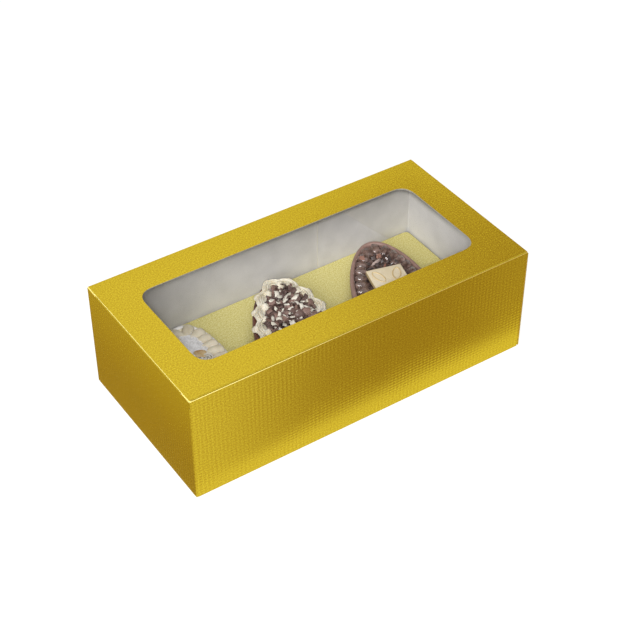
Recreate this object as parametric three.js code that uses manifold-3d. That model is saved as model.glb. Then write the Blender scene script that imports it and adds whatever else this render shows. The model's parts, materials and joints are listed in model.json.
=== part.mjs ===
// Window gift box: a folded carton with a film window, a cradle board and three filled half eggs.
// Millimetres, +Z up. The origin is the middle of the floor's underside, +X runs along the box
// to its right end and +Y runs to the back wall, which carries the lid.

import * as THREE from 'three';
import { mergeVertices } from 'three/addons/utils/BufferGeometryUtils.js';
import Module from 'manifold-3d';

const wasm = await Module();
wasm.setup();

// Carton
const BOX_LENGTH = 220;
const BOX_DEPTH = 111;
const BOX_HEIGHT = 70;
const BOARD = 0.5;
const FOLD_RADIUS = 0.8;
const FOLD_STEPS = 3;
const CORNER_STEPS = 6;
const GLUE_LINE = 0.1;
const CORNER_RELIEF = 0.5;

// Corner flaps, each folded from one wall and glued inside the next
const LONG_WALL_FLAP = 69;
const END_WALL_FLAP = 45;
const CORNER_FLAP_TOP_GAP = 4;
const CREASE_WIDTH = 0.8;
const CREASE_DEPTH = 0.15;

// Lid, window and film
const LID_SIDE_GAP = 0.3;
const WINDOW_LENGTH = 181;
const WINDOW_DEPTH = 69;
const WINDOW_SETBACK = 0.6;
const WINDOW_CORNER = 10;
const FILM = 0.2;
const FILM_MARGIN = 6;

// Tuck flap, which leans inwards so that it clears the front wall as the lid swings up
const FRONT_WALL_DROP = 0.3;
const TUCK_CLEARANCE = 0.2;
const TUCK_LENGTH = 16;
const TUCK_END_GAP = 1.2;
const TUCK_SHOULDER_GAP = 0.3;
const TUCK_CORNER = 10;
const TUCK_LEAN = THREE.MathUtils.degToRad(10);
const TUCK_CREASE_GAP = 0.05;

// Dust flaps on the end walls
const DUST_FLAP_LENGTH = 17;
const DUST_FLAP_END_GAP = 9;
const DUST_FLAP_TAPER = THREE.MathUtils.degToRad(35);
const DUST_FLAP_CORNER = 4;
const DUST_FLAP_HEADROOM = 0.1;

// Cradle
const DECK_HEIGHT = 17;
const CRADLE_CLEARANCE = 0.3;
const CRADLE_CORNER_GAP = 1.5;
const SEAT_CLEARANCE = 0.3;

// Half eggs, cast in one mould and turned in plan
const EGG_LENGTH = 91;
const EGG_WIDTH = 50;
const EGG_POINT = 0.2;
const EGG_TURNS = [20, 16.5, 19.5].map(THREE.MathUtils.degToRad);
const EGG_PLACE_SHARES = [-0.355, -0.043, 0.2685];
const EGG_ROW_Y = 1.7;
const LEFT_EGG_SETBACK = 3.7;
const SHELL_WALL = 3;
const RIM_HEIGHT = 30;
const FILLING_GAP = 0.3;
const TOPPING_GAP = 0.3;
const BED_EDGE = 2;
const EGG_RINGS = 14;
const EGG_SIDES = 24;
const OUTLINE_STEPS = 40;
const TUBE_SIDES = 6;
const RING_SINK_RATIO = 0.4;
const MOUND_RINGS = 4;
const MOUND_STEPS = 28;

// Left egg: cream petals, coconut and a biscuit curl
const PETALS = 30;
const STEPS_PER_PETAL = 3;
const PETAL_RADIUS = 5.5;
const PETAL_FLATTENING_RATIO = 0.5;
const PETAL_BULGE_RATIO = 0.1;
const PETAL_INSET = 6.3;
const COCONUT_HEIGHT = 5;
const COCONUT_LUMP = 0.5;
const LUMPS_ROUND = 7;
const LUMPS_ACROSS = 5;
const BISCUIT_RADIUS = 3.4;
const BISCUIT_WIDTH = 5;
const BISCUIT_THICKNESS = 1.3;
const BISCUIT_ASIDE = 4.6;
const BISCUIT_FORWARD = 12.5;

// Middle egg: star-piped cream and chocolate shavings
const SWIRLS = 15;
const STEPS_PER_SWIRL = 5;
const SWIRL_RADIUS = 4.6;
const SWIRL_FLATTENING_RATIO = 0.7;
const SWIRL_BULGE_RATIO = 0.2;
const SWIRL_TWIST = 1;
const SWIRL_INSET = 5.2;
const SHAVING_BED_HEIGHT = 3;
const SHAVING_SINK = 0.9;
const SHAVING_SPACING = 10.5;
const SHAVING_RADIUS = 3.4;
const SHAVING_THICKNESS = 0.9;
const SHAVING_WIDTH = 4.5;
const SHAVING_SWEEP = THREE.MathUtils.degToRad(160);
const CURL_STEPS = 2;

// Right egg: chocolate drops and a tile
const RIGHT_FILLING_DROP = 3;
const DROP_SPACING = 9.4;
const DROP_RADIUS = 4.8;
const DROP_HEIGHT = 5;
const DROP_SINK = 0.8;
const DROP_SIDES = 6;
const DROP_BED_HEIGHT = 1.6;
const TILE_SIZE = 22;
const TILE_THICKNESS = 3;
const TILE_ASIDE = -0.9;
const TILE_FORWARD = 2.1;
const TILE_TURN = THREE.MathUtils.degToRad(5);
const TILE_CORNER = 1.2;
const LEAF_LENGTH = 11;
const LEAF_WIDTH = 4.8;
const LEAF_ASIDE = 5.6;
const LEAF_FORWARD = 3.2;
const LEAF_LEAN = THREE.MathUtils.degToRad(21);
const LEAF_RELIEF = 0.4;
const LEAF_SIDES = 12;

const HALF_LENGTH = BOX_LENGTH / 2;
const HALF_DEPTH = BOX_DEPTH / 2;
const GOLDEN_ANGLE = Math.PI * (3 - Math.sqrt(5));
const FAR = BOX_LENGTH * 2;
const WELD_DISTANCE = 1e-4;
const TANGENT_STEP = 1e-3;

const X = new THREE.Vector3(1, 0, 0);
const Y = new THREE.Vector3(0, 1, 0);
const Z = new THREE.Vector3(0, 0, 1);
const LEFT = X.clone().negate();
const FRONT = Y.clone().negate();
const DOWN = Z.clone().negate();

const gold = { color: 0xb4922a, roughness: 0.38, metalness: 0.85 };
const film = { color: 0xf2f2f0, roughness: 0.1, metalness: 0 };
const whiteChocolate = { color: 0xe9dcbd, roughness: 0.5, metalness: 0 };
const darkChocolate = { color: 0x3b231b, roughness: 0.4, metalness: 0 };
const milkChocolate = { color: 0x6b4636, roughness: 0.42, metalness: 0 };
const cream = { color: 0xeee3cb, roughness: 0.6, metalness: 0 };
const coconut = { color: 0xf1ece2, roughness: 0.9, metalness: 0 };
const biscuit = { color: 0xb98a55, roughness: 0.8, metalness: 0 };

// Solids from geometry and back
function outwardTriangles(position, index) {
  const corner = [new THREE.Vector3(), new THREE.Vector3(), new THREE.Vector3()];
  const kept = [];
  let volume = 0;
  for (let i = 0; i < index.length; i += 3) {
    const [a, b, c] = [index[i], index[i + 1], index[i + 2]];
    if (a !== b && b !== c && c !== a) {
      kept.push([a, b, c]);
      corner.forEach((point, k) => point.fromBufferAttribute(position, index[i + k]));
      volume += corner[0].dot(corner[1].cross(corner[2]));
    }
  }
  const facing = volume < 0 ? kept.map(([a, b, c]) => [a, c, b]) : kept;
  return Uint32Array.from(facing.flat());
}

function solidOf(geometry) {
  const bare = geometry.clone();
  bare.deleteAttribute('normal');
  bare.deleteAttribute('uv');
  const merged = mergeVertices(bare, WELD_DISTANCE);
  const position = merged.getAttribute('position');
  const triVerts = outwardTriangles(position, merged.index.array);
  return new wasm.Manifold(new wasm.Mesh({ numProp: 3, vertProperties: position.array, triVerts }));
}

function geometryOf(solid) {
  const { vertProperties, triVerts } = solid.getMesh();
  const geometry = new THREE.BufferGeometry();
  geometry.setAttribute('position', new THREE.BufferAttribute(vertProperties, 3));
  geometry.setIndex(new THREE.BufferAttribute(triVerts, 1));
  geometry.computeVertexNormals();
  return geometry;
}

function joined(geometries) {
  const solids = geometries.map(solidOf);
  return solids.reduce((whole, piece) => whole.add(piece));
}

function node(name, geometry, look) {
  const mesh = new THREE.Mesh(geometry, new THREE.MeshStandardMaterial(look));
  mesh.name = name;
  return mesh;
}

function slab(low, high) {
  const size = new THREE.Vector3().subVectors(high, low);
  const middle = new THREE.Vector3().addVectors(low, high).multiplyScalar(0.5);
  return new THREE.BoxGeometry(size.x, size.y, size.z).translate(middle.x, middle.y, middle.z);
}

// A polygon whose corners are rounded by the radius given with each point
function roundedShape(points, Kind = THREE.Shape) {
  const shape = new Kind();
  points.forEach(([x, y, radius = 0], i) => {
    const here = new THREE.Vector2(x, y);
    const [beforeX, beforeY] = points[(i + points.length - 1) % points.length];
    const [afterX, afterY] = points[(i + 1) % points.length];
    const from = new THREE.Vector2(beforeX, beforeY).sub(here).setLength(radius).add(here);
    const to = new THREE.Vector2(afterX, afterY).sub(here).setLength(radius).add(here);
    if (i === 0) {
      shape.moveTo(from.x, from.y);
    } else {
      shape.lineTo(from.x, from.y);
    }
    if (radius > 0) {
      shape.quadraticCurveTo(here.x, here.y, to.x, to.y);
    }
  });
  shape.closePath();
  return shape;
}

function roundedRectangle(width, height, radius, Kind) {
  const [x, y] = [width / 2, height / 2];
  return roundedShape([[-x, -y, radius], [x, -y, radius], [x, y, radius], [-x, y, radius]], Kind);
}

function extruded(shape, depth, curveSegments = CORNER_STEPS) {
  return new THREE.ExtrudeGeometry(shape, { depth, bevelEnabled: false, curveSegments });
}

// Folded panels
// A panel stands on its crease. Its own X runs along the crease, Y is the face that shows and Z runs
// away from the crease, with the middle of the fold's curve at the origin. The board's section, a
// quarter ring and a straight run, is trimmed by the panel's outline.
function foldedPanel(outline, reach, foldAngle = Math.PI / 2) {
  const inside = FOLD_RADIUS - BOARD;
  const section = new THREE.Shape();
  section.moveTo(FOLD_RADIUS, reach);
  section.lineTo(inside, reach);
  section.absarc(0, 0, inside, 0, -foldAngle, true);
  section.absarc(0, 0, FOLD_RADIUS, -foldAngle, 0, false);
  section.closePath();
  const run = extruded(section, FAR, FOLD_STEPS);
  run.translate(0, 0, -FAR / 2);
  run.applyMatrix4(new THREE.Matrix4().makeBasis(Y, Z, X));
  const depth = 4 * FOLD_RADIUS;
  const trim = extruded(outline, depth);
  trim.translate(0, 0, -depth / 2);
  trim.applyMatrix4(new THREE.Matrix4().makeBasis(X, Z, FRONT));
  return solidOf(run).intersect(solidOf(trim));
}

// The outline of a plain panel: the fold between creaseFrom and creaseTo, the board between from and to
function panelOutline(creaseFrom, creaseTo, from, to, top) {
  const under = -2 * FOLD_RADIUS;
  return roundedShape([
    [creaseFrom, under], [creaseTo, under], [creaseTo, 0], [to, 0],
    ...top(to, from), [from, 0], [creaseFrom, 0],
  ]);
}

function flatTop(height) {
  return (to, from) => [[to, height], [from, height]];
}

// Places a panel by the middle of its fold, the way its face looks and the way it runs from the crease
function placed(mesh, fold, outward, along, lean = 0) {
  const crease = new THREE.Vector3().crossVectors(outward, along);
  const basis = new THREE.Matrix4().makeBasis(crease, outward, along);
  mesh.position.copy(fold);
  mesh.quaternion.setFromRotationMatrix(basis.multiply(new THREE.Matrix4().makeRotationX(lean)));
  return mesh;
}

// Tray
const FLAP_SETBACK = BOARD + GLUE_LINE;
const BACK_WALL_TOP = BOX_HEIGHT - FOLD_RADIUS;
const LID_UNDERSIDE = BOX_HEIGHT - BOARD;
const DUST_FLAP_TOP = LID_UNDERSIDE - FILM - DUST_FLAP_HEADROOM;
const END_WALL_CREASE = DUST_FLAP_TOP - FOLD_RADIUS;
const DUST_CREASE_HALF = HALF_DEPTH - DUST_FLAP_END_GAP;

function wallTop(height) {
  return flatTop(height - FOLD_RADIUS);
}

// An end wall drops to its crease under the dust flap and stands up again beside it
function endWallTop(to, from) {
  const [high, low] = [DUST_FLAP_TOP - FOLD_RADIUS, END_WALL_CREASE - FOLD_RADIUS];
  const side = DUST_CREASE_HALF + CORNER_RELIEF;
  return [[to, high], [side, high], [side, low], [-side, low], [-side, high], [from, high]];
}

// One end of each wall is a cut edge, and the other turns into the corner flap
function wall(name, half, outward, top, reach) {
  const creaseHalf = half - FOLD_RADIUS - CORNER_RELIEF;
  const foldedEnd = half - FLAP_SETBACK - FOLD_RADIUS;
  const outline = panelOutline(-creaseHalf, creaseHalf, -foldedEnd, half, top);
  const mesh = node(name, geometryOf(foldedPanel(outline, reach)), gold);
  const away = Math.abs(outward.x) > 0 ? HALF_LENGTH : HALF_DEPTH;
  const fold = outward.clone().multiplyScalar(away - FOLD_RADIUS).setZ(FOLD_RADIUS);
  return placed(mesh, fold, outward, Z);
}

// A corner flap runs inside the next wall, with the crease that lets the tray fold flat across it
function cornerFlap(name, parentOutward, hostOutward) {
  const bottom = FOLD_RADIUS + CORNER_RELIEF;
  const top = END_WALL_CREASE - CORNER_FLAP_TOP_GAP;
  const middle = (bottom + top) / 2;
  const half = (top - bottom) / 2;
  const endways = Math.abs(hostOutward.x) > 0;
  const reach = (endways ? END_WALL_FLAP : LONG_WALL_FLAP) - FOLD_RADIUS;
  const outline = panelOutline(-half, half, -half, half, flatTop(reach));
  const groove = new THREE.BoxGeometry(FAR, 2 * CREASE_DEPTH, CREASE_WIDTH);
  groove.rotateY(-Math.PI / 4);
  groove.translate(-middle, FOLD_RADIUS - BOARD, -FOLD_RADIUS);
  const solid = foldedPanel(outline, reach).subtract(solidOf(groove));
  const [host, parent] = endways ? [HALF_LENGTH, HALF_DEPTH] : [HALF_DEPTH, HALF_LENGTH];
  const fold = hostOutward.clone().multiplyScalar(host - FLAP_SETBACK - FOLD_RADIUS);
  fold.addScaledVector(parentOutward, parent - FOLD_RADIUS).setZ(middle);
  return placed(node(name, geometryOf(solid), gold), fold, hostOutward, parentOutward.clone().negate());
}

function dustFlap(name, outward) {
  const reach = DUST_FLAP_LENGTH - FOLD_RADIUS;
  const half = DUST_CREASE_HALF;
  const tip = half - DUST_FLAP_LENGTH * Math.tan(DUST_FLAP_TAPER);
  const taper = () => [[tip, reach, DUST_FLAP_CORNER], [-tip, reach, DUST_FLAP_CORNER]];
  const outline = panelOutline(-half, half, -half, half, taper);
  const mesh = node(name, geometryOf(foldedPanel(outline, reach)), gold);
  const fold = outward.clone().multiplyScalar(HALF_LENGTH - FOLD_RADIUS).setZ(END_WALL_CREASE);
  return placed(mesh, fold, Z, outward.clone().negate());
}

function tray() {
  const group = new THREE.Group();
  const floorLow = new THREE.Vector3(FOLD_RADIUS - HALF_LENGTH, FOLD_RADIUS - HALF_DEPTH, 0);
  const floorHigh = new THREE.Vector3(HALF_LENGTH - FOLD_RADIUS, HALF_DEPTH - FOLD_RADIUS, BOARD);
  const frontTop = BOX_HEIGHT - FRONT_WALL_DROP;
  group.add(
    node('floor_panel', slab(floorLow, floorHigh), gold),
    wall('front_wall', HALF_LENGTH, FRONT, wallTop(frontTop), frontTop),
    wall('back_wall', HALF_LENGTH, Y, wallTop(BACK_WALL_TOP), BACK_WALL_TOP),
    wall('left_end_wall', HALF_DEPTH, LEFT, endWallTop, DUST_FLAP_TOP),
    wall('right_end_wall', HALF_DEPTH, X, endWallTop, DUST_FLAP_TOP),
    cornerFlap('front_left_corner_flap', LEFT, FRONT),
    cornerFlap('front_right_corner_flap', FRONT, X),
    cornerFlap('back_right_corner_flap', X, Y),
    cornerFlap('back_left_corner_flap', Y, LEFT),
    dustFlap('left_dust_flap', LEFT),
    dustFlap('right_dust_flap', X),
  );
  return group;
}

// Lid
const TUCK_FACE = HALF_DEPTH - BOARD - TUCK_CLEARANCE;
const LID_HALF = HALF_LENGTH - LID_SIDE_GAP;
const TUCK_HALF = LID_HALF - TUCK_END_GAP;

// The lid ends at the tuck's crease and, beside it, in shoulders that close the box's front corners
function lidPanel() {
  const backFold = HALF_DEPTH - FOLD_RADIUS;
  const [reach, shoulder] = [backFold + TUCK_FACE - FOLD_RADIUS, backFold + TUCK_FACE];
  const side = TUCK_HALF + TUCK_SHOULDER_GAP;
  const front = (to, from) => [
    [to, shoulder], [side, shoulder], [side, reach], [-side, reach], [-side, shoulder], [from, shoulder],
  ];
  const outline = panelOutline(-LID_HALF, LID_HALF, -LID_HALF, LID_HALF, front);
  const [x, y] = [WINDOW_LENGTH / 2, WINDOW_DEPTH / 2];
  const middle = backFold - WINDOW_SETBACK;
  const [near, far] = [middle - y, middle + y];
  const corners = [[-x, near], [x, near], [x, far], [-x, far]].map((point) => [...point, WINDOW_CORNER]);
  outline.holes.push(roundedShape(corners, THREE.Path));
  const mesh = node('lid_panel', geometryOf(foldedPanel(outline, shoulder)), gold);
  return placed(mesh, new THREE.Vector3(0, backFold, BACK_WALL_TOP), Z, FRONT);
}

function windowFilm() {
  const [length, depth] = [WINDOW_LENGTH, WINDOW_DEPTH].map((size) => size + 2 * FILM_MARGIN);
  const sheet = extruded(roundedRectangle(length, depth, WINDOW_CORNER), FILM);
  const mesh = node('window_film', sheet, film);
  mesh.position.set(0, WINDOW_SETBACK, LID_UNDERSIDE - FILM);
  return mesh;
}

function tuckFlap() {
  const reach = TUCK_LENGTH - FOLD_RADIUS;
  const tip = () => [[TUCK_HALF, reach, TUCK_CORNER], [-TUCK_HALF, reach, TUCK_CORNER]];
  const outline = panelOutline(-TUCK_HALF, TUCK_HALF, -TUCK_HALF, TUCK_HALF, tip);
  const mesh = node('tuck_flap', geometryOf(foldedPanel(outline, reach, Math.PI / 2 + TUCK_LEAN)), gold);
  const fold = new THREE.Vector3(0, FOLD_RADIUS - TUCK_FACE - TUCK_CREASE_GAP, BACK_WALL_TOP);
  return placed(mesh, fold, FRONT, DOWN, TUCK_LEAN);
}

// Egg form
// Each egg is built with its axis along its own Y, the pointed end forward, and its rim's middle plane
// at height zero. The rim is a bead as thick as the wall is wide.
const BEAD = SHELL_WALL / 2;
const EGG_HALF_LENGTH = EGG_LENGTH / 2;

// The egg's half width along its axis, from the blunt end to the pointed one, inset from the outside
const EGG_SHOULDER = (Math.sqrt(1 + 8 * EGG_POINT ** 2) - 1) / (4 * EGG_POINT);
const EGG_SWELL = Math.sqrt(1 - EGG_SHOULDER ** 2) * (1 + EGG_POINT * EGG_SHOULDER);

function eggRadius(along, inset = 0) {
  const share = along / (EGG_HALF_LENGTH - inset);
  const round = Math.sqrt(Math.max(0, 1 - share ** 2)) * (1 - EGG_POINT * share);
  return (EGG_WIDTH / 2 / EGG_SWELL - inset) * round;
}

// A point of the egg's outline in plan, at an angle of the outline's own parameter
function eggOutline(angle, inset = 0) {
  const along = (EGG_HALF_LENGTH - inset) * Math.sin(angle);
  const side = Math.cos(angle) < 0 ? -1 : 1;
  return new THREE.Vector2(side * eggRadius(along, inset), along);
}

function wholeEgg(inset) {
  const points = [];
  for (let i = 0; i <= EGG_RINGS; i += 1) {
    const along = -(EGG_HALF_LENGTH - inset) * Math.cos((Math.PI * i) / EGG_RINGS);
    points.push(new THREE.Vector2(eggRadius(along, inset), along));
  }
  return new THREE.LatheGeometry(points, EGG_SIDES);
}

// Cradle
const CRADLE_HALF_LENGTH = HALF_LENGTH - FLAP_SETBACK - BOARD - CRADLE_CLEARANCE;
const CRADLE_HALF_DEPTH = HALF_DEPTH - FLAP_SETBACK - BOARD - CRADLE_CLEARANCE;
const eggPlaces = EGG_PLACE_SHARES.map((share, i) => ({
  x: 2 * CRADLE_HALF_LENGTH * share,
  y: i === 0 ? EGG_ROW_Y - LEFT_EGG_SETBACK : EGG_ROW_Y,
  turn: -EGG_TURNS[i],
}));

// The deck's cut-outs are the shell's own form, opened by the seat's clearance
function cradleDeck() {
  const length = 2 * (CRADLE_HALF_LENGTH - FOLD_RADIUS);
  const depth = 2 * (CRADLE_HALF_DEPTH - FOLD_RADIUS);
  const board = extruded(roundedRectangle(length, depth, CRADLE_CORNER_GAP), BOARD);
  const deck = eggPlaces.reduce((solid, place) => {
    const seat = wholeEgg(-SEAT_CLEARANCE).rotateZ(place.turn);
    return solid.subtract(solidOf(seat.translate(place.x, place.y, RIM_HEIGHT - BEAD)));
  }, solidOf(board.translate(0, 0, DECK_HEIGHT - BOARD)));
  return node('cradle_deck', geometryOf(deck), gold);
}

function cradleLeg(name, outward) {
  const endways = Math.abs(outward.x) > 0;
  const half = (endways ? CRADLE_HALF_DEPTH : CRADLE_HALF_LENGTH) - FOLD_RADIUS - CRADLE_CORNER_GAP;
  const reach = DECK_HEIGHT - BOARD - FOLD_RADIUS;
  const outline = panelOutline(-half, half, -half, half, flatTop(reach));
  const mesh = node(name, geometryOf(foldedPanel(outline, reach)), gold);
  const away = (endways ? CRADLE_HALF_LENGTH : CRADLE_HALF_DEPTH) - FOLD_RADIUS;
  const fold = outward.clone().multiplyScalar(away).setZ(DECK_HEIGHT - FOLD_RADIUS);
  return placed(mesh, fold, outward, DOWN);
}

function cradle() {
  const group = new THREE.Group();
  group.add(
    cradleDeck(),
    cradleLeg('cradle_front_leg', FRONT),
    cradleLeg('cradle_back_leg', Y),
    cradleLeg('cradle_left_leg', LEFT),
    cradleLeg('cradle_right_leg', X),
  );
  return group;
}

// Eggs
function above(height) {
  return solidOf(slab(new THREE.Vector3(-FAR, -FAR, height), new THREE.Vector3(FAR, FAR, FAR)));
}

function below(height) {
  return solidOf(slab(new THREE.Vector3(-FAR, -FAR, -FAR), new THREE.Vector3(FAR, FAR, height)));
}

// A closed tube along the egg's outline. Its radius swells lobe by lobe, twist slants the lobes round
// the tube like piped cream, and flattening lowers it.
function outlineTube(tube) {
  const { inset, radius, lobes = 0, bulge = 0, twist = 0, flattening = 1, steps = OUTLINE_STEPS } = tube;
  const sides = TUBE_SIDES;
  const vertices = [];
  const index = [];
  for (let i = 0; i < steps; i += 1) {
    const angle = (2 * Math.PI * i) / steps;
    const centre = eggOutline(angle, inset);
    const ahead = eggOutline(angle + TANGENT_STEP, inset);
    ahead.sub(eggOutline(angle - TANGENT_STEP, inset)).normalize();
    for (let k = 0; k < sides; k += 1) {
      const turn = (2 * Math.PI * (k + 0.5)) / sides;
      const swell = radius * (1 + bulge * Math.cos(lobes * angle + twist * turn));
      const [across, up] = [swell * Math.cos(turn), flattening * swell * Math.sin(turn)];
      vertices.push(centre.x + across * ahead.y, centre.y - across * ahead.x, up);
      const [here, next] = [i * sides, ((i + 1) % steps) * sides];
      const beside = (k + 1) % sides;
      index.push(here + k, next + k, next + beside, here + k, next + beside, here + beside);
    }
  }
  const geometry = new THREE.BufferGeometry();
  geometry.setAttribute('position', new THREE.Float32BufferAttribute(vertices, 3));
  geometry.setIndex(index);
  return geometry;
}

function eggShell(name, look) {
  const bowl = solidOf(wholeEgg(0)).subtract(solidOf(wholeEgg(SHELL_WALL))).subtract(above(0));
  const bead = solidOf(outlineTube({ inset: BEAD, radius: BEAD }));
  return node(name, geometryOf(bowl.add(bead)), look);
}

function eggFilling(name, look, level) {
  const solid = solidOf(wholeEgg(SHELL_WALL + FILLING_GAP)).subtract(above(level));
  return node(name, geometryOf(solid), look);
}

// A low mound over the egg's outline, with lumps worked round and across it
function mound({ inset, edge, height, lump = 0 }) {
  const [rings, steps] = [MOUND_RINGS, MOUND_STEPS];
  const vertices = [0, 0, height, 0, 0, 0];
  const index = [];
  for (let i = 0; i < steps; i += 1) {
    const angle = (2 * Math.PI * i) / steps;
    const rim = eggOutline(angle, inset);
    for (let r = 1; r <= rings; r += 1) {
      const share = r / rings;
      const wave = lump * Math.sin(LUMPS_ROUND * angle + 2 * r) * Math.cos(LUMPS_ACROSS * angle - 3 * r);
      const rise = edge + (height - edge) * (1 - share ** 2) + wave * (1 - share ** 4);
      vertices.push(rim.x * share, rim.y * share, rise);
    }
    vertices.push(rim.x, rim.y, 0);
    const [here, next] = [2 + i * (rings + 1), 2 + ((i + 1) % steps) * (rings + 1)];
    index.push(0, here, next, 1, next + rings, here + rings);
    for (let r = 0; r < rings; r += 1) {
      index.push(here + r, here + r + 1, next + r + 1, here + r, next + r + 1, next + r);
    }
  }
  const geometry = new THREE.BufferGeometry();
  geometry.setAttribute('position', new THREE.Float32BufferAttribute(vertices, 3));
  geometry.setIndex(index);
  return geometry;
}

// Places in rows round the egg's outline, one row inside the other, a spacing apart
function rowPlaces(firstInset, spacing) {
  const places = [];
  for (let inset = firstInset; inset < EGG_WIDTH / 2; inset += spacing) {
    const row = Array.from({ length: 4 * OUTLINE_STEPS }, (_, i) => {
      return eggOutline((Math.PI * i) / (2 * OUTLINE_STEPS), inset);
    });
    const curve = new THREE.Path(row);
    curve.autoClose = true;
    const count = Math.max(2, Math.floor(curve.getLength() / spacing));
    curve.getSpacedPoints(count).slice(0, count).forEach((at) => places.push(at));
  }
  return places;
}

// A curled strip: part of a ring, standing on its ends
function curl(radius, thickness, width, sweep) {
  const start = (Math.PI - sweep) / 2;
  const arch = new THREE.Shape();
  arch.absarc(0, 0, radius, start, start + sweep, false);
  arch.absarc(0, 0, radius - thickness, start + sweep, start, true);
  arch.closePath();
  return extruded(arch, width, CURL_STEPS).translate(0, 0, -width / 2).rotateX(Math.PI / 2);
}

const petals = {
  inset: PETAL_INSET,
  radius: PETAL_RADIUS,
  lobes: PETALS,
  bulge: PETAL_BULGE_RATIO,
  flattening: PETAL_FLATTENING_RATIO,
  steps: STEPS_PER_PETAL * PETALS,
};
const swirls = {
  inset: SWIRL_INSET,
  radius: SWIRL_RADIUS,
  lobes: SWIRLS,
  bulge: SWIRL_BULGE_RATIO,
  flattening: SWIRL_FLATTENING_RATIO,
  twist: SWIRL_TWIST,
  steps: STEPS_PER_SWIRL * SWIRLS,
};
const TOPPING_SEAT = BEAD + TOPPING_GAP;

function ringHeight({ radius, flattening }) {
  return TOPPING_SEAT + radius * flattening * RING_SINK_RATIO;
}

// Cream piped onto the rim, flat underneath
function creamRing(name, piping) {
  const tube = outlineTube(piping).translate(0, 0, ringHeight(piping));
  return node(name, geometryOf(solidOf(tube).subtract(below(TOPPING_SEAT))), cream);
}

// What lies inside a cream ring is trimmed clear of it
function insideRing(solid, piping) {
  const room = outlineTube({ ...piping, radius: piping.radius + TOPPING_GAP });
  room.translate(0, 0, ringHeight(piping));
  return solid.subtract(solidOf(room));
}

function ringInside({ inset, radius, bulge }) {
  return inset + radius * (1 + bulge) + TOPPING_GAP;
}

function coconutAndBiscuit() {
  const inset = ringInside(petals);
  const heap = mound({ inset, edge: BED_EDGE, height: COCONUT_HEIGHT, lump: COCONUT_LUMP });
  const bed = insideRing(solidOf(heap.translate(0, 0, TOPPING_SEAT)), petals);
  const arch = curl(BISCUIT_RADIUS, BISCUIT_THICKNESS, BISCUIT_WIDTH, Math.PI);
  const seat = TOPPING_SEAT + COCONUT_HEIGHT - BISCUIT_RADIUS / 2;
  const standing = solidOf(arch.translate(BISCUIT_ASIDE, BISCUIT_FORWARD, seat));
  const pressed = standing.subtract(bed.translate([0, 0, TOPPING_GAP]));
  return [
    node('left_egg_coconut_bed', geometryOf(bed), coconut),
    node('left_egg_biscuit_curl', geometryOf(pressed), biscuit),
  ];
}

function shavings() {
  const inset = ringInside(swirls);
  const pieces = [mound({ inset, edge: BED_EDGE, height: SHAVING_BED_HEIGHT })];
  rowPlaces(inset + SHAVING_RADIUS, SHAVING_SPACING).forEach((at, i) => {
    const piece = curl(SHAVING_RADIUS, SHAVING_THICKNESS, SHAVING_WIDTH, SHAVING_SWEEP);
    pieces.push(piece.rotateZ(i * GOLDEN_ANGLE).translate(at.x, at.y, BED_EDGE - SHAVING_SINK));
  });
  const solid = insideRing(joined(pieces).translate([0, 0, TOPPING_SEAT]), swirls);
  return node('middle_egg_shavings', geometryOf(solid), darkChocolate);
}

const DROP_INSET = SHELL_WALL + FILLING_GAP;
const DROP_TOP = DROP_BED_HEIGHT + DROP_HEIGHT - DROP_SINK - RIGHT_FILLING_DROP;

function chocolateDrops() {
  const profile = [[0, 0], [1, 0], [0.85, 0.5], [0.25, 1], [0, 1]];
  const points = profile.map(([r, h]) => new THREE.Vector2(r * DROP_RADIUS, h * DROP_HEIGHT));
  const pieces = [mound({ inset: DROP_INSET, edge: DROP_BED_HEIGHT, height: DROP_BED_HEIGHT })];
  rowPlaces(DROP_INSET + DROP_RADIUS, DROP_SPACING).forEach((at) => {
    const drop = new THREE.LatheGeometry(points, DROP_SIDES).rotateX(Math.PI / 2);
    pieces.push(drop.translate(at.x, at.y, DROP_BED_HEIGHT - DROP_SINK));
  });
  const heap = joined(pieces).translate([0, 0, -RIGHT_FILLING_DROP]);
  const solid = heap.intersect(solidOf(wholeEgg(DROP_INSET)));
  return node('right_egg_chocolate_drops', geometryOf(solid), darkChocolate);
}

// The tile carries a pair of raised leaves that lean apart
function tile() {
  const plate = extruded(roundedRectangle(TILE_SIZE, TILE_SIZE, TILE_CORNER), TILE_THICKNESS);
  const leaves = [-1, 1].map((side) => {
    const leaf = new THREE.CylinderGeometry(1, 1, 2 * LEAF_RELIEF, LEAF_SIDES);
    leaf.rotateX(Math.PI / 2).scale(LEAF_WIDTH / 2, LEAF_LENGTH / 2, 1);
    return leaf.rotateZ(-side * LEAF_LEAN).translate(side * LEAF_ASIDE, LEAF_FORWARD, TILE_THICKNESS);
  });
  const pieces = [plate, ...leaves].map((piece) => piece.rotateZ(TILE_TURN));
  const solid = joined(pieces).translate([TILE_ASIDE, TILE_FORWARD, DROP_TOP + TOPPING_GAP]);
  return node('right_egg_tile', geometryOf(solid), whiteChocolate);
}

function eggAt(place, ...pieces) {
  const group = new THREE.Group();
  group.position.set(place.x, place.y, RIM_HEIGHT - BEAD);
  group.rotation.z = place.turn;
  group.add(...pieces);
  return group;
}

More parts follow.
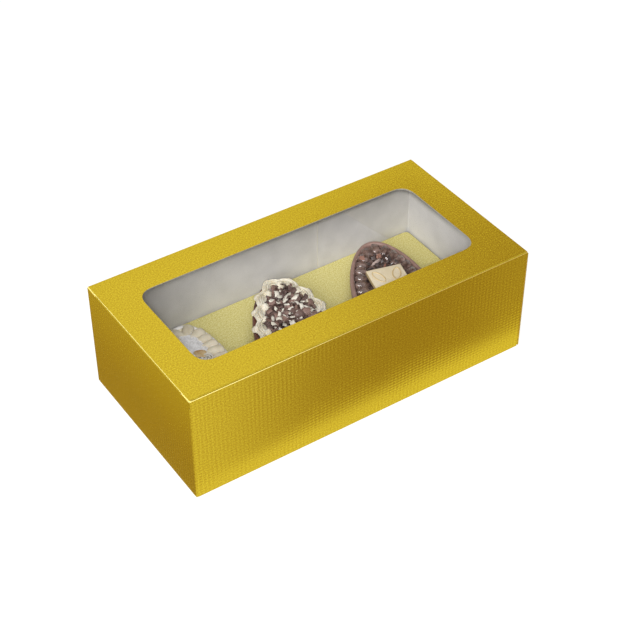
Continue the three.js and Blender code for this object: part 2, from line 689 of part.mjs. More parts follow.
const giftBox = new THREE.Group();
giftBox.add(
  tray(),
  lidPanel(),
  windowFilm(),
  tuckFlap(),
  cradle(),
  eggAt(
    eggPlaces[0],
    eggShell('left_egg_shell', whiteChocolate),
    eggFilling('left_egg_filling', cream, BEAD),
    creamRing('left_egg_petal_ring', petals),
    ...coconutAndBiscuit(),
  ),
  eggAt(
    eggPlaces[1],
    eggShell('middle_egg_shell', darkChocolate),
    eggFilling('middle_egg_filling', cream, BEAD),
    creamRing('middle_egg_piped_ring', swirls),
    shavings(),
  ),
  eggAt(
    eggPlaces[2],
    eggShell('right_egg_shell', milkChocolate),
    eggFilling('right_egg_filling', darkChocolate, -RIGHT_FILLING_DROP - TOPPING_GAP),
    chocolateDrops(),
    tile(),
  ),
);

export default giftBox;
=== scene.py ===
"""Window gift box: gold foil carton, film window, cradle board and three filled half eggs.

Metres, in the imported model's own frame: +X along the box to its right end, +Y to the back wall.
"""
import bisect
import json
import math
import random
from contextlib import contextmanager

import bmesh
import bpy
from mathutils import Matrix, Vector, noise
from mathutils.geometry import delaunay_2d_cdt

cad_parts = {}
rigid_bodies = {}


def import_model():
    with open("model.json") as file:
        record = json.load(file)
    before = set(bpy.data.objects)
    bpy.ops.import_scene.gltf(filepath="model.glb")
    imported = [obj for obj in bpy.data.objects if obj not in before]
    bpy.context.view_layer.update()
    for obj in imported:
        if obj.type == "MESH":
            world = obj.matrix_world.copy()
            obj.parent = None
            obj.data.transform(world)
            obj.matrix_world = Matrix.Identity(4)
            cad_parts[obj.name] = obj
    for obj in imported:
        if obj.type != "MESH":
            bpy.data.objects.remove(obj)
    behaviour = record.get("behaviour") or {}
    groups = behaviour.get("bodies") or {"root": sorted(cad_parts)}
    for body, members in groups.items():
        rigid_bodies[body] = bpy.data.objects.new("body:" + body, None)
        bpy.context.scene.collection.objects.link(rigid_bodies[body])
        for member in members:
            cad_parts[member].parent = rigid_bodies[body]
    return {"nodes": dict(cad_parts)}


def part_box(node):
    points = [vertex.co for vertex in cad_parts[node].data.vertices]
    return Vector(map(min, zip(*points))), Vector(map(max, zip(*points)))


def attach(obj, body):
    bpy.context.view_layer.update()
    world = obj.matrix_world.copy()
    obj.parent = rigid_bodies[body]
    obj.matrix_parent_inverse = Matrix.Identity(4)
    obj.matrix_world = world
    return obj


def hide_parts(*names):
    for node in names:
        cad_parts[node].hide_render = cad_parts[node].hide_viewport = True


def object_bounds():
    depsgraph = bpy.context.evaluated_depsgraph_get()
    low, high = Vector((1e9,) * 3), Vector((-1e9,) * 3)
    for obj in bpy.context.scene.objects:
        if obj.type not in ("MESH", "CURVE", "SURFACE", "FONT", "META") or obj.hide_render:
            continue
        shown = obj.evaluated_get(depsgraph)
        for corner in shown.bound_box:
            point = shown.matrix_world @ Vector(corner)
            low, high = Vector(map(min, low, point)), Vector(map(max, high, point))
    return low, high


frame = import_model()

SOLID_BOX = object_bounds()
MM = 0.001
X, Y, Z = Vector((1, 0, 0)), Vector((0, 1, 0)), Vector((0, 0, 1))
LEFT, FRONT, DOWN = -X, -Y, -Z


def low(node):
    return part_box(node)[0]


def high(node):
    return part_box(node)[1]


def size(node):
    return high(node) - low(node)


# Sizes read from the frame
BOARD = size("floor_panel").z
FOLD = size("front_wall").y
HALF_LENGTH, HALF_DEPTH, HEIGHT = SOLID_BOX[1]
FLAP_SETBACK = HALF_DEPTH + low("front_left_corner_flap").y
FLAP_TOP = high("front_left_corner_flap").z
END_CREASE = low("left_dust_flap").z
END_TOP = high("left_end_wall").z
DUST_HALF = high("left_dust_flap").y
DUST_LENGTH = size("left_dust_flap").x
DECK_TOP = high("cradle_deck").z
CRADLE_HALF_LENGTH = high("cradle_right_leg").x
CRADLE_HALF_DEPTH = high("cradle_back_leg").y
LID_HALF = high("lid_panel").x
TUCK_HALF = high("tuck_flap").x

# Sizes that the boxes of the nodes don't show
CORNER_RELIEF = 0.5 * MM
SCORE_WIDTH = 0.8 * MM
SCORE_DEPTH = 0.15 * MM
FILM_MARGIN = 6 * MM
FILM_GLUE = 0.03 * MM
WINDOW_CORNER = 10 * MM
DUST_TAPER = math.radians(35)
DUST_CORNER = 4 * MM
TUCK_LENGTH = 16 * MM
TUCK_CORNER = 10 * MM
TUCK_LEAN = math.radians(10)
TUCK_CREASE_GAP = 0.05 * MM
TUCK_SHOULDER_GAP = 0.3 * MM
SEAT_CLEARANCE = 0.3 * MM
CRADLE_CORNER_GAP = 1.5 * MM
EAR_GAP = 0.1 * MM
SCORE_MARGIN = 0.5 * MM
FOLD_STEPS = 8
CORNER_STEPS = 8

EGG_LENGTH = 91 * MM
EGG_WIDTH = 50 * MM
EGG_POINT = 0.2
SHELL_WALL = 3 * MM
TOPPING_GAP = 0.3 * MM

WINDOW_HALF = size("window_film").xy / 2 - Vector((FILM_MARGIN, FILM_MARGIN))
WINDOW_Y = (low("window_film").y + high("window_film").y) / 2

# How close two places are taken as one, and how far beside a cut edge is looked for a hole
SAME_PLACE = 1e-6
WELD = 1e-7
CUT_PRECISION = 1e-8
HOLE_PROBE = 0.01 * MM


# Node networks
class Network:
    """A node tree under construction."""

    def __init__(self, tree):
        self.tree = tree

    def node(self, kind, settings=None, sockets=None):
        made = self.tree.nodes.new(kind)
        for key, value in (settings or {}).items():
            setattr(made, key, value)
        for key, value in (sockets or {}).items():
            self.feed(self.socket(made.inputs, key), value)
        return made

    def value(self, kind, settings, sockets, output=0):
        """An output of a new node, as a number to reckon with."""
        return Value(self, self.socket(self.node(kind, settings, sockets).outputs, output))

    @staticmethod
    def socket(sockets, key):
        if isinstance(key, int):
            return sockets[key]
        named = [s for s in sockets if s.identifier == key and s.enabled]
        return named[0] if named else sockets[key]

    def feed(self, socket, value):
        source = value.socket if isinstance(value, Value) else value
        if isinstance(source, bpy.types.NodeSocket):
            self.tree.links.new(source, socket)
        else:
            socket.default_value = source


class Value:
    """A socket's number, so that shader maths reads as arithmetic."""

    def __init__(self, network, socket):
        self.network = network
        self.socket = socket

    def math(self, operation, *terms):
        return self.network.value("ShaderNodeMath", {"operation": operation}, dict(enumerate(terms)))

    def __add__(self, other):
        return self.math("ADD", self, other)

    def __sub__(self, other):
        return self.math("SUBTRACT", self, other)

    def __rsub__(self, other):
        return self.math("SUBTRACT", other, self)

    def __mul__(self, other):
        return self.math("MULTIPLY", self, other)

    def __truediv__(self, other):
        return self.math("DIVIDE", self, other)

    def __abs__(self):
        return self.math("ABSOLUTE", self)

    __radd__, __rmul__ = __add__, __mul__

    def sine(self):
        return self.math("SINE", self)

    def root(self):
        return self.math("SQRT", self)

    def above(self, other):
        return self.math("MAXIMUM", self, other)

    def below(self, other):
        return self.math("MINIMUM", self, other)

    def ramp(self, start, end):
        """0 before start, 1 after end, smooth between."""
        sockets = {"Value": self, "From Min": start, "From Max": end}
        settings = {"interpolation_type": "SMOOTHSTEP"}
        return self.network.value("ShaderNodeMapRange", settings, sockets, "Result")


class Finish(Network):
    """A material under construction."""

    def __init__(self, name):
        self.material = bpy.data.materials.new(name)
        self.material.use_nodes = True
        super().__init__(self.material.node_tree)
        self.tree.nodes.clear()
        self.output = self.node("ShaderNodeOutputMaterial")

    def place(self, stretch=(1, 1, 1)):
        where = self.node("ShaderNodeTexCoord").outputs["Object"]
        sockets = {"Vector": where, "Scale": stretch}
        return self.node("ShaderNodeMapping", {"vector_type": "TEXTURE"}, sockets).outputs["Vector"]

    def sheet(self):
        return self.node("ShaderNodeUVMap", {"uv_map": "sheet"}).outputs["UV"]

    def parts(self, vector):
        split = self.node("ShaderNodeSeparateXYZ", None, {"Vector": vector})
        return [Value(self, socket) for socket in split.outputs]

    def cloud(self, vector, grain, detail=2.0, rough=0.5):
        """Noise whose features are about grain across."""
        sockets = {"Vector": vector, "Scale": 1 / grain, "Detail": detail, "Roughness": rough}
        return self.value("ShaderNodeTexNoise", None, sockets, "Fac")

    def cells(self, vector, grain):
        """The distance to the nearest of points about grain apart."""
        return self.value("ShaderNodeTexVoronoi", None, {"Vector": vector, "Scale": 1 / grain}, "Distance")

    def mix(self, factor, first, second):
        sockets = {"Factor_Float": factor, "A_Color": colour(first), "B_Color": colour(second)}
        made = self.node("ShaderNodeMix", {"data_type": "RGBA", "clamp_factor": True}, sockets)
        return self.socket(made.outputs, "Result_Color")

    def bump(self, height, strength, distance, normal=None):
        sockets = {"Height": height, "Strength": strength, "Distance": distance}
        if normal is not None:
            sockets["Normal"] = normal
        return self.node("ShaderNodeBump", None, sockets).outputs["Normal"]

    def surface(self, **sockets):
        named = {key.replace("_", " "): value for key, value in sockets.items()}
        return self.show(self.node("ShaderNodeBsdfPrincipled", None, named))

    def show(self, shader):
        self.tree.links.new(shader.outputs[0], self.output.inputs["Surface"])
        return self.material


def colour(value):
    """A socket as it is; a colour code or three linear numbers with full alpha."""
    if isinstance(value, str):
        value = srgb(value)
    return (*value, 1) if isinstance(value, tuple) else value


def srgb(code):
    """Linear red, green and blue of a six-digit colour code."""
    parts = [int(code[i:i + 2], 16) / 255 for i in (0, 2, 4)]
    return tuple(c / 12.92 if c <= 0.04045 else ((c + 0.055) / 1.055) ** 2.4 for c in parts)


# Finishes of the carton
RIB_PITCH = 2.5 * MM
CROSS_PITCH = 2.0 * MM
GOLD_EDGE = (1.0, 0.9, 0.45)


def gold_foil(name, dark, light, metal, rough, linen, grain):
    """Metallised foil laminated on board, embossed with a linen pattern over a fine grain."""
    finish = Finish(name)
    sheet = finish.sheet()
    along, across, _ = finish.parts(sheet)
    drift = finish.cloud(sheet, 9 * MM, 2) - 0.5
    ribs = ((along + drift * 0.9 * MM) * (2 * math.pi / RIB_PITCH)).sine()
    crossing = ((across + drift * 0.7 * MM) * (2 * math.pi / CROSS_PITCH)).sine()
    patches = finish.cloud(sheet, 30 * MM, 2).ramp(0.35, 0.6)
    speckle = finish.cloud(sheet, 0.8 * MM, 3, 0.65)
    weave = (ribs + crossing * 0.9) * (0.25 + patches * 0.75)
    height = weave * linen + speckle * grain
    swell = finish.cloud(sheet, 70 * MM, 1)
    broad = finish.bump(swell, 0.2, 1.2 * MM)
    normal = finish.bump(height, 0.4, 0.12 * MM, broad)
    tint = finish.mix((speckle + weave * linen * 0.06).ramp(0.32, 0.7), dark, light)
    return finish.surface(
        Base_Color=tint, Metallic=metal, Roughness=rough + speckle * 0.14, Normal=normal,
        Specular_Tint=colour(GOLD_EDGE),
    )


def grey_liner():
    """The bare inside of the carton board, with fibres and specks; foil wraps the end walls' front ends."""
    finish = Finish("grey_liner")
    sheet = finish.sheet()
    fibres = finish.cloud(sheet, 1.4 * MM, 4, 0.65)
    mottle = finish.cloud(sheet, 14 * MM, 3)
    specks = finish.cells(sheet, 2.1 * MM).ramp(0.1, 0.02)
    tint = finish.mix(mottle.ramp(0.3, 0.7), "c0bebd", "cac8c7")
    spotted = finish.mix(specks * 0.16, tint, "9a917f")
    worked = finish.mix(fibres.ramp(0.62, 0.8) * 0.3, spotted, "ebebee")
    x, y, _ = finish.parts(finish.place())
    end = HALF_LENGTH - abs(x)
    front = HALF_DEPTH + y
    wrapped = end.ramp(1.0 * MM, 0.8 * MM) * front.ramp(1.8 * MM, 1.6 * MM)
    tinted = finish.mix(wrapped, worked, "a8872a")
    normal = finish.bump(fibres, 0.25, 0.08 * MM)
    return finish.surface(Base_Color=tinted, Roughness=0.72 + fibres * 0.2, Normal=normal)


def board_core(name, dark, light):
    """The cut edge of the board, pale paper between foil and liner."""
    finish = Finish(name)
    place = finish.place()
    fibres = finish.cloud(place, 0.6 * MM, 3)
    tint = finish.mix(fibres.ramp(0.35, 0.7), dark, light)
    normal = finish.bump(fibres, 0.3, 0.06 * MM)
    return finish.surface(Base_Color=tint, Roughness=0.65, Normal=normal)


def rubbed_core():
    """A cut edge coloured as a painted glint: the edge's bright highlight painted in yellow, duller towards
    the right end of the box.
    """
    finish = Finish("rubbed_core")
    place = finish.place()
    x, _, _ = finish.parts(place)
    fibres = finish.cloud(place, 0.6 * MM, 3).ramp(0.35, 0.7)
    bright = finish.mix(fibres, "e6d36c", "f4e795")
    dull = finish.mix(fibres, "b3973a", "c7ad52")
    # painted highlight: bright towards the left, fading to the duller tone at the right end
    tint = finish.mix(x.ramp(-0.1, 0.02), bright, dull)
    normal = finish.bump(fibres, 0.3, 0.06 * MM)
    return finish.surface(Base_Color=tint, Roughness=0.65, Normal=normal)


FILM_HAZE = 0.02
FILM_SHADE = 0.3
FILM_SHADE_REACH = 5 * MM


def clear_film():
    """Glossy film, faintly waved, with painted shade along the window's edge: a dark tint, stronger at the
    back and right.
    """
    finish = Finish("clear_film")
    place = finish.place()
    x, y, _ = finish.parts(place)
    inset_x = abs(x) - (WINDOW_HALF.x - WINDOW_CORNER)
    inset_y = abs(y - WINDOW_Y) - (WINDOW_HALF.y - WINDOW_CORNER)
    corner_x, corner_y = inset_x.above(0), inset_y.above(0)
    beyond = (corner_x * corner_x + corner_y * corner_y).root() + inset_x.above(inset_y).below(0)
    inward = WINDOW_CORNER - beyond
    # painted shade: a dark band just inside the window's edge
    rim = (1 - (inward / FILM_SHADE_REACH).ramp(0.0, 1.0)) * inward.ramp(-0.3 * MM, 0.1 * MM)
    back = y.ramp(-WINDOW_HALF.y, WINDOW_HALF.y * 0.4) * 0.75 + 0.25
    right = x.ramp(-WINDOW_HALF.x, WINDOW_HALF.x) * 0.6 + 0.4
    shade = rim * rim * back * right
    waves = finish.cloud(finish.place(stretch=(0.09, 0.03, 1)), 1.0, 1)
    normal = finish.bump(waves, 0.15, 1 * MM)
    # the dark tint that the painted shade shows
    tint = finish.mix(waves, "2c2923", "38342c")
    return finish.surface(
        Base_Color=tint, Roughness=0.08, Normal=normal, Alpha=shade * FILM_SHADE + FILM_HAZE,
    )


# Finishes of the eggs
def cast_chocolate(name, dark, light, gloss):
    """Chocolate cast in a mould: faint swirls, bloom and rubbed spots."""
    finish = Finish(name)
    place = finish.place()
    swirls = finish.cloud(place, 11 * MM, 4, 0.6)
    bloom = finish.cloud(place, 2.2 * MM, 3)
    tint = finish.mix(swirls.ramp(0.3, 0.7), dark, light)
    normal = finish.bump(swirls + bloom * 0.4, 0.2, 0.5 * MM)
    return finish.surface(
        Base_Color=tint, Roughness=gloss + bloom * 0.18, Normal=normal, Coat_Weight=0.15,
        Coat_Roughness=0.25,
    )


def soft_cream(name, dark, light, streak):
    """Matte cream, streaked along its fine surface."""
    finish = Finish(name)
    place = finish.place()
    folds = finish.cloud(place, 4 * MM, 3)
    fine = finish.cloud(place, streak, 3, 0.6)
    tint = finish.mix(folds.ramp(0.3, 0.7), dark, light)
    normal = finish.bump(fine, 0.25, 0.25 * MM)
    return finish.surface(
        Base_Color=tint, Roughness=0.5 + fine * 0.2, Normal=normal, Subsurface_Weight=0.15,
        Subsurface_Radius=(0.004, 0.003, 0.002),
    )


def grated_coconut():
    finish = Finish("grated_coconut")
    place = finish.place()
    shreds = finish.cells(place, 0.9 * MM)
    powder = finish.cloud(place, 0.5 * MM, 3)
    tint = finish.mix(shreds.ramp(0.1, 0.7), "e9e8e8", "d6d4d4")
    normal = finish.bump(shreds + powder * 0.6, 0.45, 0.3 * MM)
    return finish.surface(Base_Color=tint, Roughness=0.9, Normal=normal)


def baked_biscuit():
    finish = Finish("baked_biscuit")
    place = finish.place()
    crumbs = finish.cloud(place, 0.8 * MM, 4, 0.65)
    browning = finish.cloud(place, 5 * MM, 2)
    tint = finish.mix(browning.ramp(0.3, 0.7), "cdb58a", "a5804c")
    pale = finish.mix(crumbs.ramp(0.55, 0.75) * 0.7, tint, "dccca8")
    normal = finish.bump(crumbs, 0.6, 0.4 * MM)
    return finish.surface(Base_Color=pale, Roughness=0.8, Normal=normal)


def glossy_drops():
    finish = Finish("glossy_drops")
    place = finish.place()
    streaks = finish.cloud(place, 3 * MM, 3)
    tint = finish.mix(streaks.ramp(0.35, 0.7), "513e38", "7c655d")
    normal = finish.bump(streaks, 0.35, 0.6 * MM)
    return finish.surface(
        Base_Color=tint, Roughness=0.1 + streaks * 0.1, Normal=normal, Coat_Weight=1.0,
        Coat_Roughness=0.06,
    )


FOIL = gold_foil("gold_foil", "bf9f28", "dfc63c", 1.0, 0.18, 0.7, 1.6)
LID_FOIL = gold_foil("lid_foil", "bf9f28", "dfc63c", 1.0, 0.18, 0.15, 3.0)
DECK_FOIL = gold_foil("deck_foil", "cfc26b", "f2ecb0", 0.35, 0.42, 0.1, 3.2)
LINER = grey_liner()
CORE = board_core("board_core", "c0bbad", "d0cbbe")
# a darker copy of the core for cut edges in holes: painted shade
PAINTED_SHADE_CORE = board_core("dull_core", "8f8a7a", "a5a08f")
# cut edges of the lid and the walls' tops, coloured as a painted glint
PAINTED_GLINT_CORE = rubbed_core()
FILM = clear_film()
WHITE_SHELL = cast_chocolate("white_chocolate_shell", "d9d6d2", "e5e3e1", 0.34)
DARK_SHELL = cast_chocolate("dark_chocolate_shell", "4a2d24", "643f33", 0.32)
MILK_SHELL = cast_chocolate("milk_chocolate_shell", "80645b", "967a71", 0.34)
PETAL_CREAM = soft_cream("petal_cream", "c8bda4", "d6cdb9", 1.2 * MM)
PIPED_CREAM = soft_cream("piped_cream", "c4bba5", "d2ccbd", 0.7 * MM)
FILLING_CREAM = soft_cream("filling_cream", "dccfae", "efe6cf", 1.5 * MM)
COCONUT = grated_coconut()
BISCUIT = baked_biscuit()
DARK_SHAVINGS = cast_chocolate("dark_shavings", "443330", "665049", 0.42)
MILK_SHAVINGS = cast_chocolate("milk_shavings", "624a42", "80665d", 0.45)
WHITE_SHAVINGS = cast_chocolate("white_shavings", "c3bdae", "d1cbc0", 0.45)
RED_CRUMBS = cast_chocolate("red_crumbs", "7e5547", "987264", 0.5)
DARK_FLAKES = cast_chocolate("dark_flakes", "372e2d", "544846", 0.4)
PALE_STICK = cast_chocolate("pale_stick", "a8938b", "c0ada6", 0.35)
DROPS = glossy_drops()
IVORY_TILE = cast_chocolate("ivory_tile", "d5c5a4", "dbceb5", 0.4)
# a darker golden copy of the ivory for the tile's sides and leaf beads: painted shade
TILE_PAINTED_SHADE = cast_chocolate("tile_relief", "c0a674", "ccb78b", 0.4)


def dress(node, finish):
    """Gives a carried-over solid a finish of its own."""
    for held in frame["nodes"][node].material_slots:
        held.material = finish


# Pieces
def add(name, data):
    thing = bpy.data.objects.new(name, data)
    bpy.context.scene.collection.objects.link(thing)
    return thing


def piece(name, mesh, body, slot, *nodes):
    """Puts a finished mesh into the scene as a piece that rides on a body and stands for nodes."""
    thing = add(name, mesh)
    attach(thing, body)
    if nodes:
        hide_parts(*nodes)


@contextmanager
def reworked(mesh):
    """A mesh opened for work, and written back at the end."""
    work = bmesh.new()
    work.from_mesh(mesh)
    yield work
    work.to_mesh(mesh)
    work.free()


def shade(mesh, sharp):
    """Smooth shading, but for edges that turn by more than sharp degrees."""
    mesh.polygons.foreach_set("use_smooth", [True] * len(mesh.polygons))
    mesh.set_sharp_from_angle(angle=math.radians(sharp))


def new_mesh(name, points=(), faces=(), materials=()):
    mesh = bpy.data.meshes.new(name)
    mesh.from_pydata([tuple(p) for p in points], [], faces)
    for material in materials:
        mesh.materials.append(material)
    return mesh


def mesh_of(name, points, faces, materials=(), sharp=40):
    mesh = new_mesh(name, points, faces, materials)
    tidy(mesh, sharp)
    return mesh


def tidy(mesh, sharp):
    """Welds seams and poles, turns the faces outwards and shades them smooth."""
    with reworked(mesh) as work:
        bmesh.ops.remove_doubles(work, verts=work.verts, dist=WELD)
        bmesh.ops.dissolve_degenerate(work, edges=work.edges, dist=WELD)
        bmesh.ops.recalc_face_normals(work, faces=work.faces)
    shade(mesh, sharp)
    mesh.update()


def quads(rings, sides):
    """Faces between closed rings of points that follow each other."""
    faces = []
    for i in range(rings - 1):
        for k in range(sides):
            a, b = i * sides + k, i * sides + (k + 1) % sides
            faces.append((a, b, b + sides, a + sides))
    return faces


# Board sheets
def rounded(points):
    """A loop from corner points, each (x, y) or (x, y, radius)."""
    loop = []
    for i, (x, y, *radius) in enumerate(points):
        here = Vector((x, y))
        if not radius:
            loop.append(here)
            continue
        before = Vector(points[i - 1][:2])
        after = Vector(points[(i + 1) % len(points)][:2])
        start = here + (before - here).normalized() * radius[0]
        end = here + (after - here).normalized() * radius[0]
        for k in range(CORNER_STEPS + 1):
            t = k / CORNER_STEPS
            loop.append(start * (1 - t) ** 2 + here * (2 * t * (1 - t)) + end * t ** 2)
    return loop


def encloses(loop, point):
    inside = False
    for a, b in zip(loop, loop[1:] + loop[:1]):
        if (a.y > point.y) != (b.y > point.y):
            if point.x < a.x + (point.y - a.y) * (b.x - a.x) / (b.y - a.y):
                inside = not inside
    return inside


def board(
    name, at, outline, holes=(), bends=(), score=None, creases=(), face=FOIL, edge=CORE, thickness=BOARD,
):
    """A board panel from its flat outline: foil outside, liner inside, core on the cut edges.

    at(point, depth) gives the place of a point of the flat sheet, depth below its face. Each crease is
    an axis of the sheet and a value on it: an edge there runs on into the next panel, so foil covers it.
    """
    points, edges = [], []
    for loop in (outline, *holes):
        first = len(points)
        points += loop
        edges += [(first + i, first + (i + 1) % len(loop)) for i in range(len(loop))]
    lines = list(bends)
    if score:
        start, end = score
        along = (end - start).normalized()
        side = along.orthogonal() * (SCORE_WIDTH / 2)
        lines += [(start, end), (start + side, end + side), (start - side, end - side)]
    for line in lines:
        edges.append((len(points), len(points) + 1))
        points += line
    flat, _, triangles, *_ = delaunay_2d_cdt(points, edges, [], 0, CUT_PRECISION)

    def in_hole(point):
        return any(encloses(hole, point) for hole in holes)

    def kept(triangle):
        middle = sum((flat[i] for i in triangle), Vector((0, 0))) / 3
        return encloses(outline, middle) and not in_hole(middle)

    def groove(point):
        return SCORE_DEPTH if score and abs(along.cross(point - start)) < SAME_PLACE else 0

    def cut_finish(a, b):
        """Which of the materials an edge shows: foil on a crease, the darker core of painted shade in a
        hole, or core.
        """
        for axis, value in creases:
            if max(abs(flat[a][axis] - value), abs(flat[b][axis] - value)) < SAME_PLACE:
                return 0
        middle = (flat[a] + flat[b]) / 2
        step = (flat[b] - flat[a]).orthogonal().normalized() * HOLE_PROBE
        # an edge beside a hole takes the darker core, painted shade
        return 3 if in_hole(middle + step) or in_hole(middle - step) else 2

    triangles = [t for t in triangles if kept(t)]
    sided = dict.fromkeys(pair for a, b, c in triangles for pair in ((a, b), (b, c), (c, a)))
    border = [(a, b) for a, b in sided if (b, a) not in sided]
    count = len(flat)
    faces = [(c, b, a) for a, b, c in triangles]
    faces += [(a + count, b + count, c + count) for a, b, c in triangles]
    faces += [(b + count, a + count, a, b) for a, b in border]
    places = [at(p, 0) for p in flat] + [at(p, thickness - groove(p)) for p in flat]
    mesh = new_mesh(name, places, faces, (face, LINER, edge, PAINTED_SHADE_CORE))
    kinds = [0] * len(triangles) + [1] * len(triangles) + [cut_finish(a, b) for a, b in border]
    mesh.polygons.foreach_set("material_index", kinds)
    sheet = mesh.uv_layers.new(name="sheet")
    for loop in mesh.loops:
        sheet.data[loop.index].uv = flat[loop.vertex_index % count]
    with reworked(mesh) as work:
        bmesh.ops.delete(work, geom=[v for v in work.verts if not v.link_faces], context="VERTS")
        bmesh.ops.recalc_face_normals(work, faces=work.faces)
    shade(mesh, 30)
    return mesh


def flat_board(name, node, body, top, outward, along, corner=(), **options):
    """A level panel whose four sides run on into other panels. corner holds its corners' radius, if any."""
    half = size(node) / 2
    across = outward.cross(along)

    def at(point, depth):
        return top + across * point.x + along * point.y - outward * depth

    corners = [(-half.x, -half.y), (half.x, -half.y), (half.x, half.y), (-half.x, half.y)]
    outline = rounded([(*place, *corner) for place in corners])
    creases = [(0, -half.x), (0, half.x), (1, -half.y), (1, half.y)]
    piece(name, board(name, at, outline, creases=creases, **options), body, "gold_board", node)


class Panel:
    """A panel that stands on its crease: its fold's middle, the way it faces and the way it runs."""

    def __init__(self, fold, outward, along, angle=math.pi / 2, lean=0.0):
        self.fold = fold
        self.crease = outward.cross(along)
        turn = Matrix.Rotation(lean, 3, self.crease)
        self.outward, self.along = turn @ outward, turn @ along
        self.angle = angle
        self.arc = FOLD * angle

    def at(self, point, depth):
        radius = FOLD - depth
        if point.y < self.arc:
            turn = self.angle * (point.y / self.arc - 1)
            out, run = radius * math.cos(turn), radius * math.sin(turn)
        else:
            out, run = radius, point.y - self.arc
        return self.fold + self.crease * point.x + self.outward * out + self.along * run

    def put(
        self, node, body, half, top, name=None, foot=None, start=None, holes=(), score=None, creases=(),
        **options,
    ):
        """Puts the panel's board in for a node.

        It reaches foot to each side at its crease, runs from start to half beyond the fold, and top
        goes on round it from there.
        """
        name = name or node + "_board"
        foot = foot or half
        start = start or -half
        arc, rise = self.arc, Vector((0, self.arc))
        corners = [(-foot, 0), (foot, 0), (foot, arc)]
        if half != foot:
            corners.append((half, arc))
        corners += [(x, y + arc, *radius) for x, y, *radius in top]
        if start != -foot:
            corners.append((start, arc))
        outline = rounded([*corners, (-foot, arc)])
        rows = [arc * k / FOLD_STEPS for k in range(1, FOLD_STEPS + 1)]
        bends = [(Vector((-foot, row)), Vector((foot, row))) for row in rows]
        lifted = [[p + rise for p in hole] for hole in holes]
        raised = score and tuple(p + rise for p in score)
        runs_on = [(1, 0)] + [(axis, value + arc * axis) for axis, value in creases]
        mesh = board(name, self.at, outline, lifted, bends, raised, runs_on, **options)
        piece(name, mesh, body, "gold_board", node)


# Tray
def wall_board(node, half, outward, top, top_crease=None, edge=CORE):
    """A wall. Over its corner flap it runs on a little, so that no slit shows at the corner."""
    away = HALF_LENGTH if outward.x else HALF_DEPTH
    panel = Panel(outward * (away - FOLD) + Z * FOLD, outward, Z)
    folded_end = half - FLAP_SETBACK - FOLD
    ear = -folded_end - FOLD
    creases = [(0, -folded_end), (0, ear), (0, half)]
    if top_crease is not None:
        creases.append((1, top_crease - FOLD))
    run = top(half, -folded_end)
    tall, ear_foot = run.pop()[1], FLAP_TOP - FOLD + EAR_GAP
    run += [(ear, tall), (ear, ear_foot), (-folded_end, ear_foot)]
    foot = half - FOLD - CORNER_RELIEF
    panel.put(node, "tray", half, run, foot=foot, start=-folded_end, creases=creases, edge=edge)


def level_top(node):
    height = high(node).z - FOLD
    return lambda end, start: [(end, height), (start, height)]


def notched_top(end, start):
    tall, short = END_TOP - FOLD, END_CREASE - FOLD
    side = DUST_HALF + CORNER_RELIEF
    return [(end, tall), (side, tall), (side, short), (-side, short), (-side, tall), (start, tall)]


def corner_flap_board(node, parent, host):
    bottom, top = low(node).z, high(node).z
    half, middle = (top - bottom) / 2, (top + bottom) / 2
    endways = abs(host.x) > 0
    reach = (size(node).y if endways else size(node).x) - FOLD
    host_away, parent_away = (HALF_LENGTH, HALF_DEPTH) if endways else (HALF_DEPTH, HALF_LENGTH)
    fold = host * (host_away - FLAP_SETBACK - FOLD) + parent * (parent_away - FOLD) + Z * middle
    panel = Panel(fold, host, -parent)
    rising = 1 if panel.crease.z > 0 else -1
    foot = -half * rising
    span = min(2 * half, reach) - 2 * SCORE_MARGIN
    score = tuple(Vector((foot + rising * run, run)) for run in (SCORE_MARGIN, span))
    panel.put(node, "tray", half, [(half, reach), (-half, reach)], score=score)


def dust_board(node, outward, body):
    panel = Panel(outward * (HALF_LENGTH - FOLD) + Z * END_CREASE, Z, -outward)
    reach = DUST_LENGTH - FOLD
    tip = DUST_HALF - DUST_LENGTH * math.tan(DUST_TAPER)
    top = [(tip, reach, DUST_CORNER), (-tip, reach, DUST_CORNER)]
    panel.put(node, body, DUST_HALF, top)


flat_board("floor_board", "floor_panel", "tray", Vector((0, 0, 0)), DOWN, Y)
wall_board("front_wall", HALF_LENGTH, FRONT, level_top("front_wall"), edge=PAINTED_GLINT_CORE)
wall_board("back_wall", HALF_LENGTH, Y, level_top("back_wall"), high("back_wall").z)
wall_board("left_end_wall", HALF_DEPTH, LEFT, notched_top, END_CREASE, PAINTED_GLINT_CORE)
wall_board("right_end_wall", HALF_DEPTH, X, notched_top, END_CREASE, PAINTED_GLINT_CORE)
corner_flap_board("front_left_corner_flap", LEFT, FRONT)
corner_flap_board("front_right_corner_flap", FRONT, X)
corner_flap_board("back_right_corner_flap", X, Y)
corner_flap_board("back_left_corner_flap", Y, LEFT)
dust_board("left_dust_flap", LEFT, "left_dust")
dust_board("right_dust_flap", X, "right_dust")


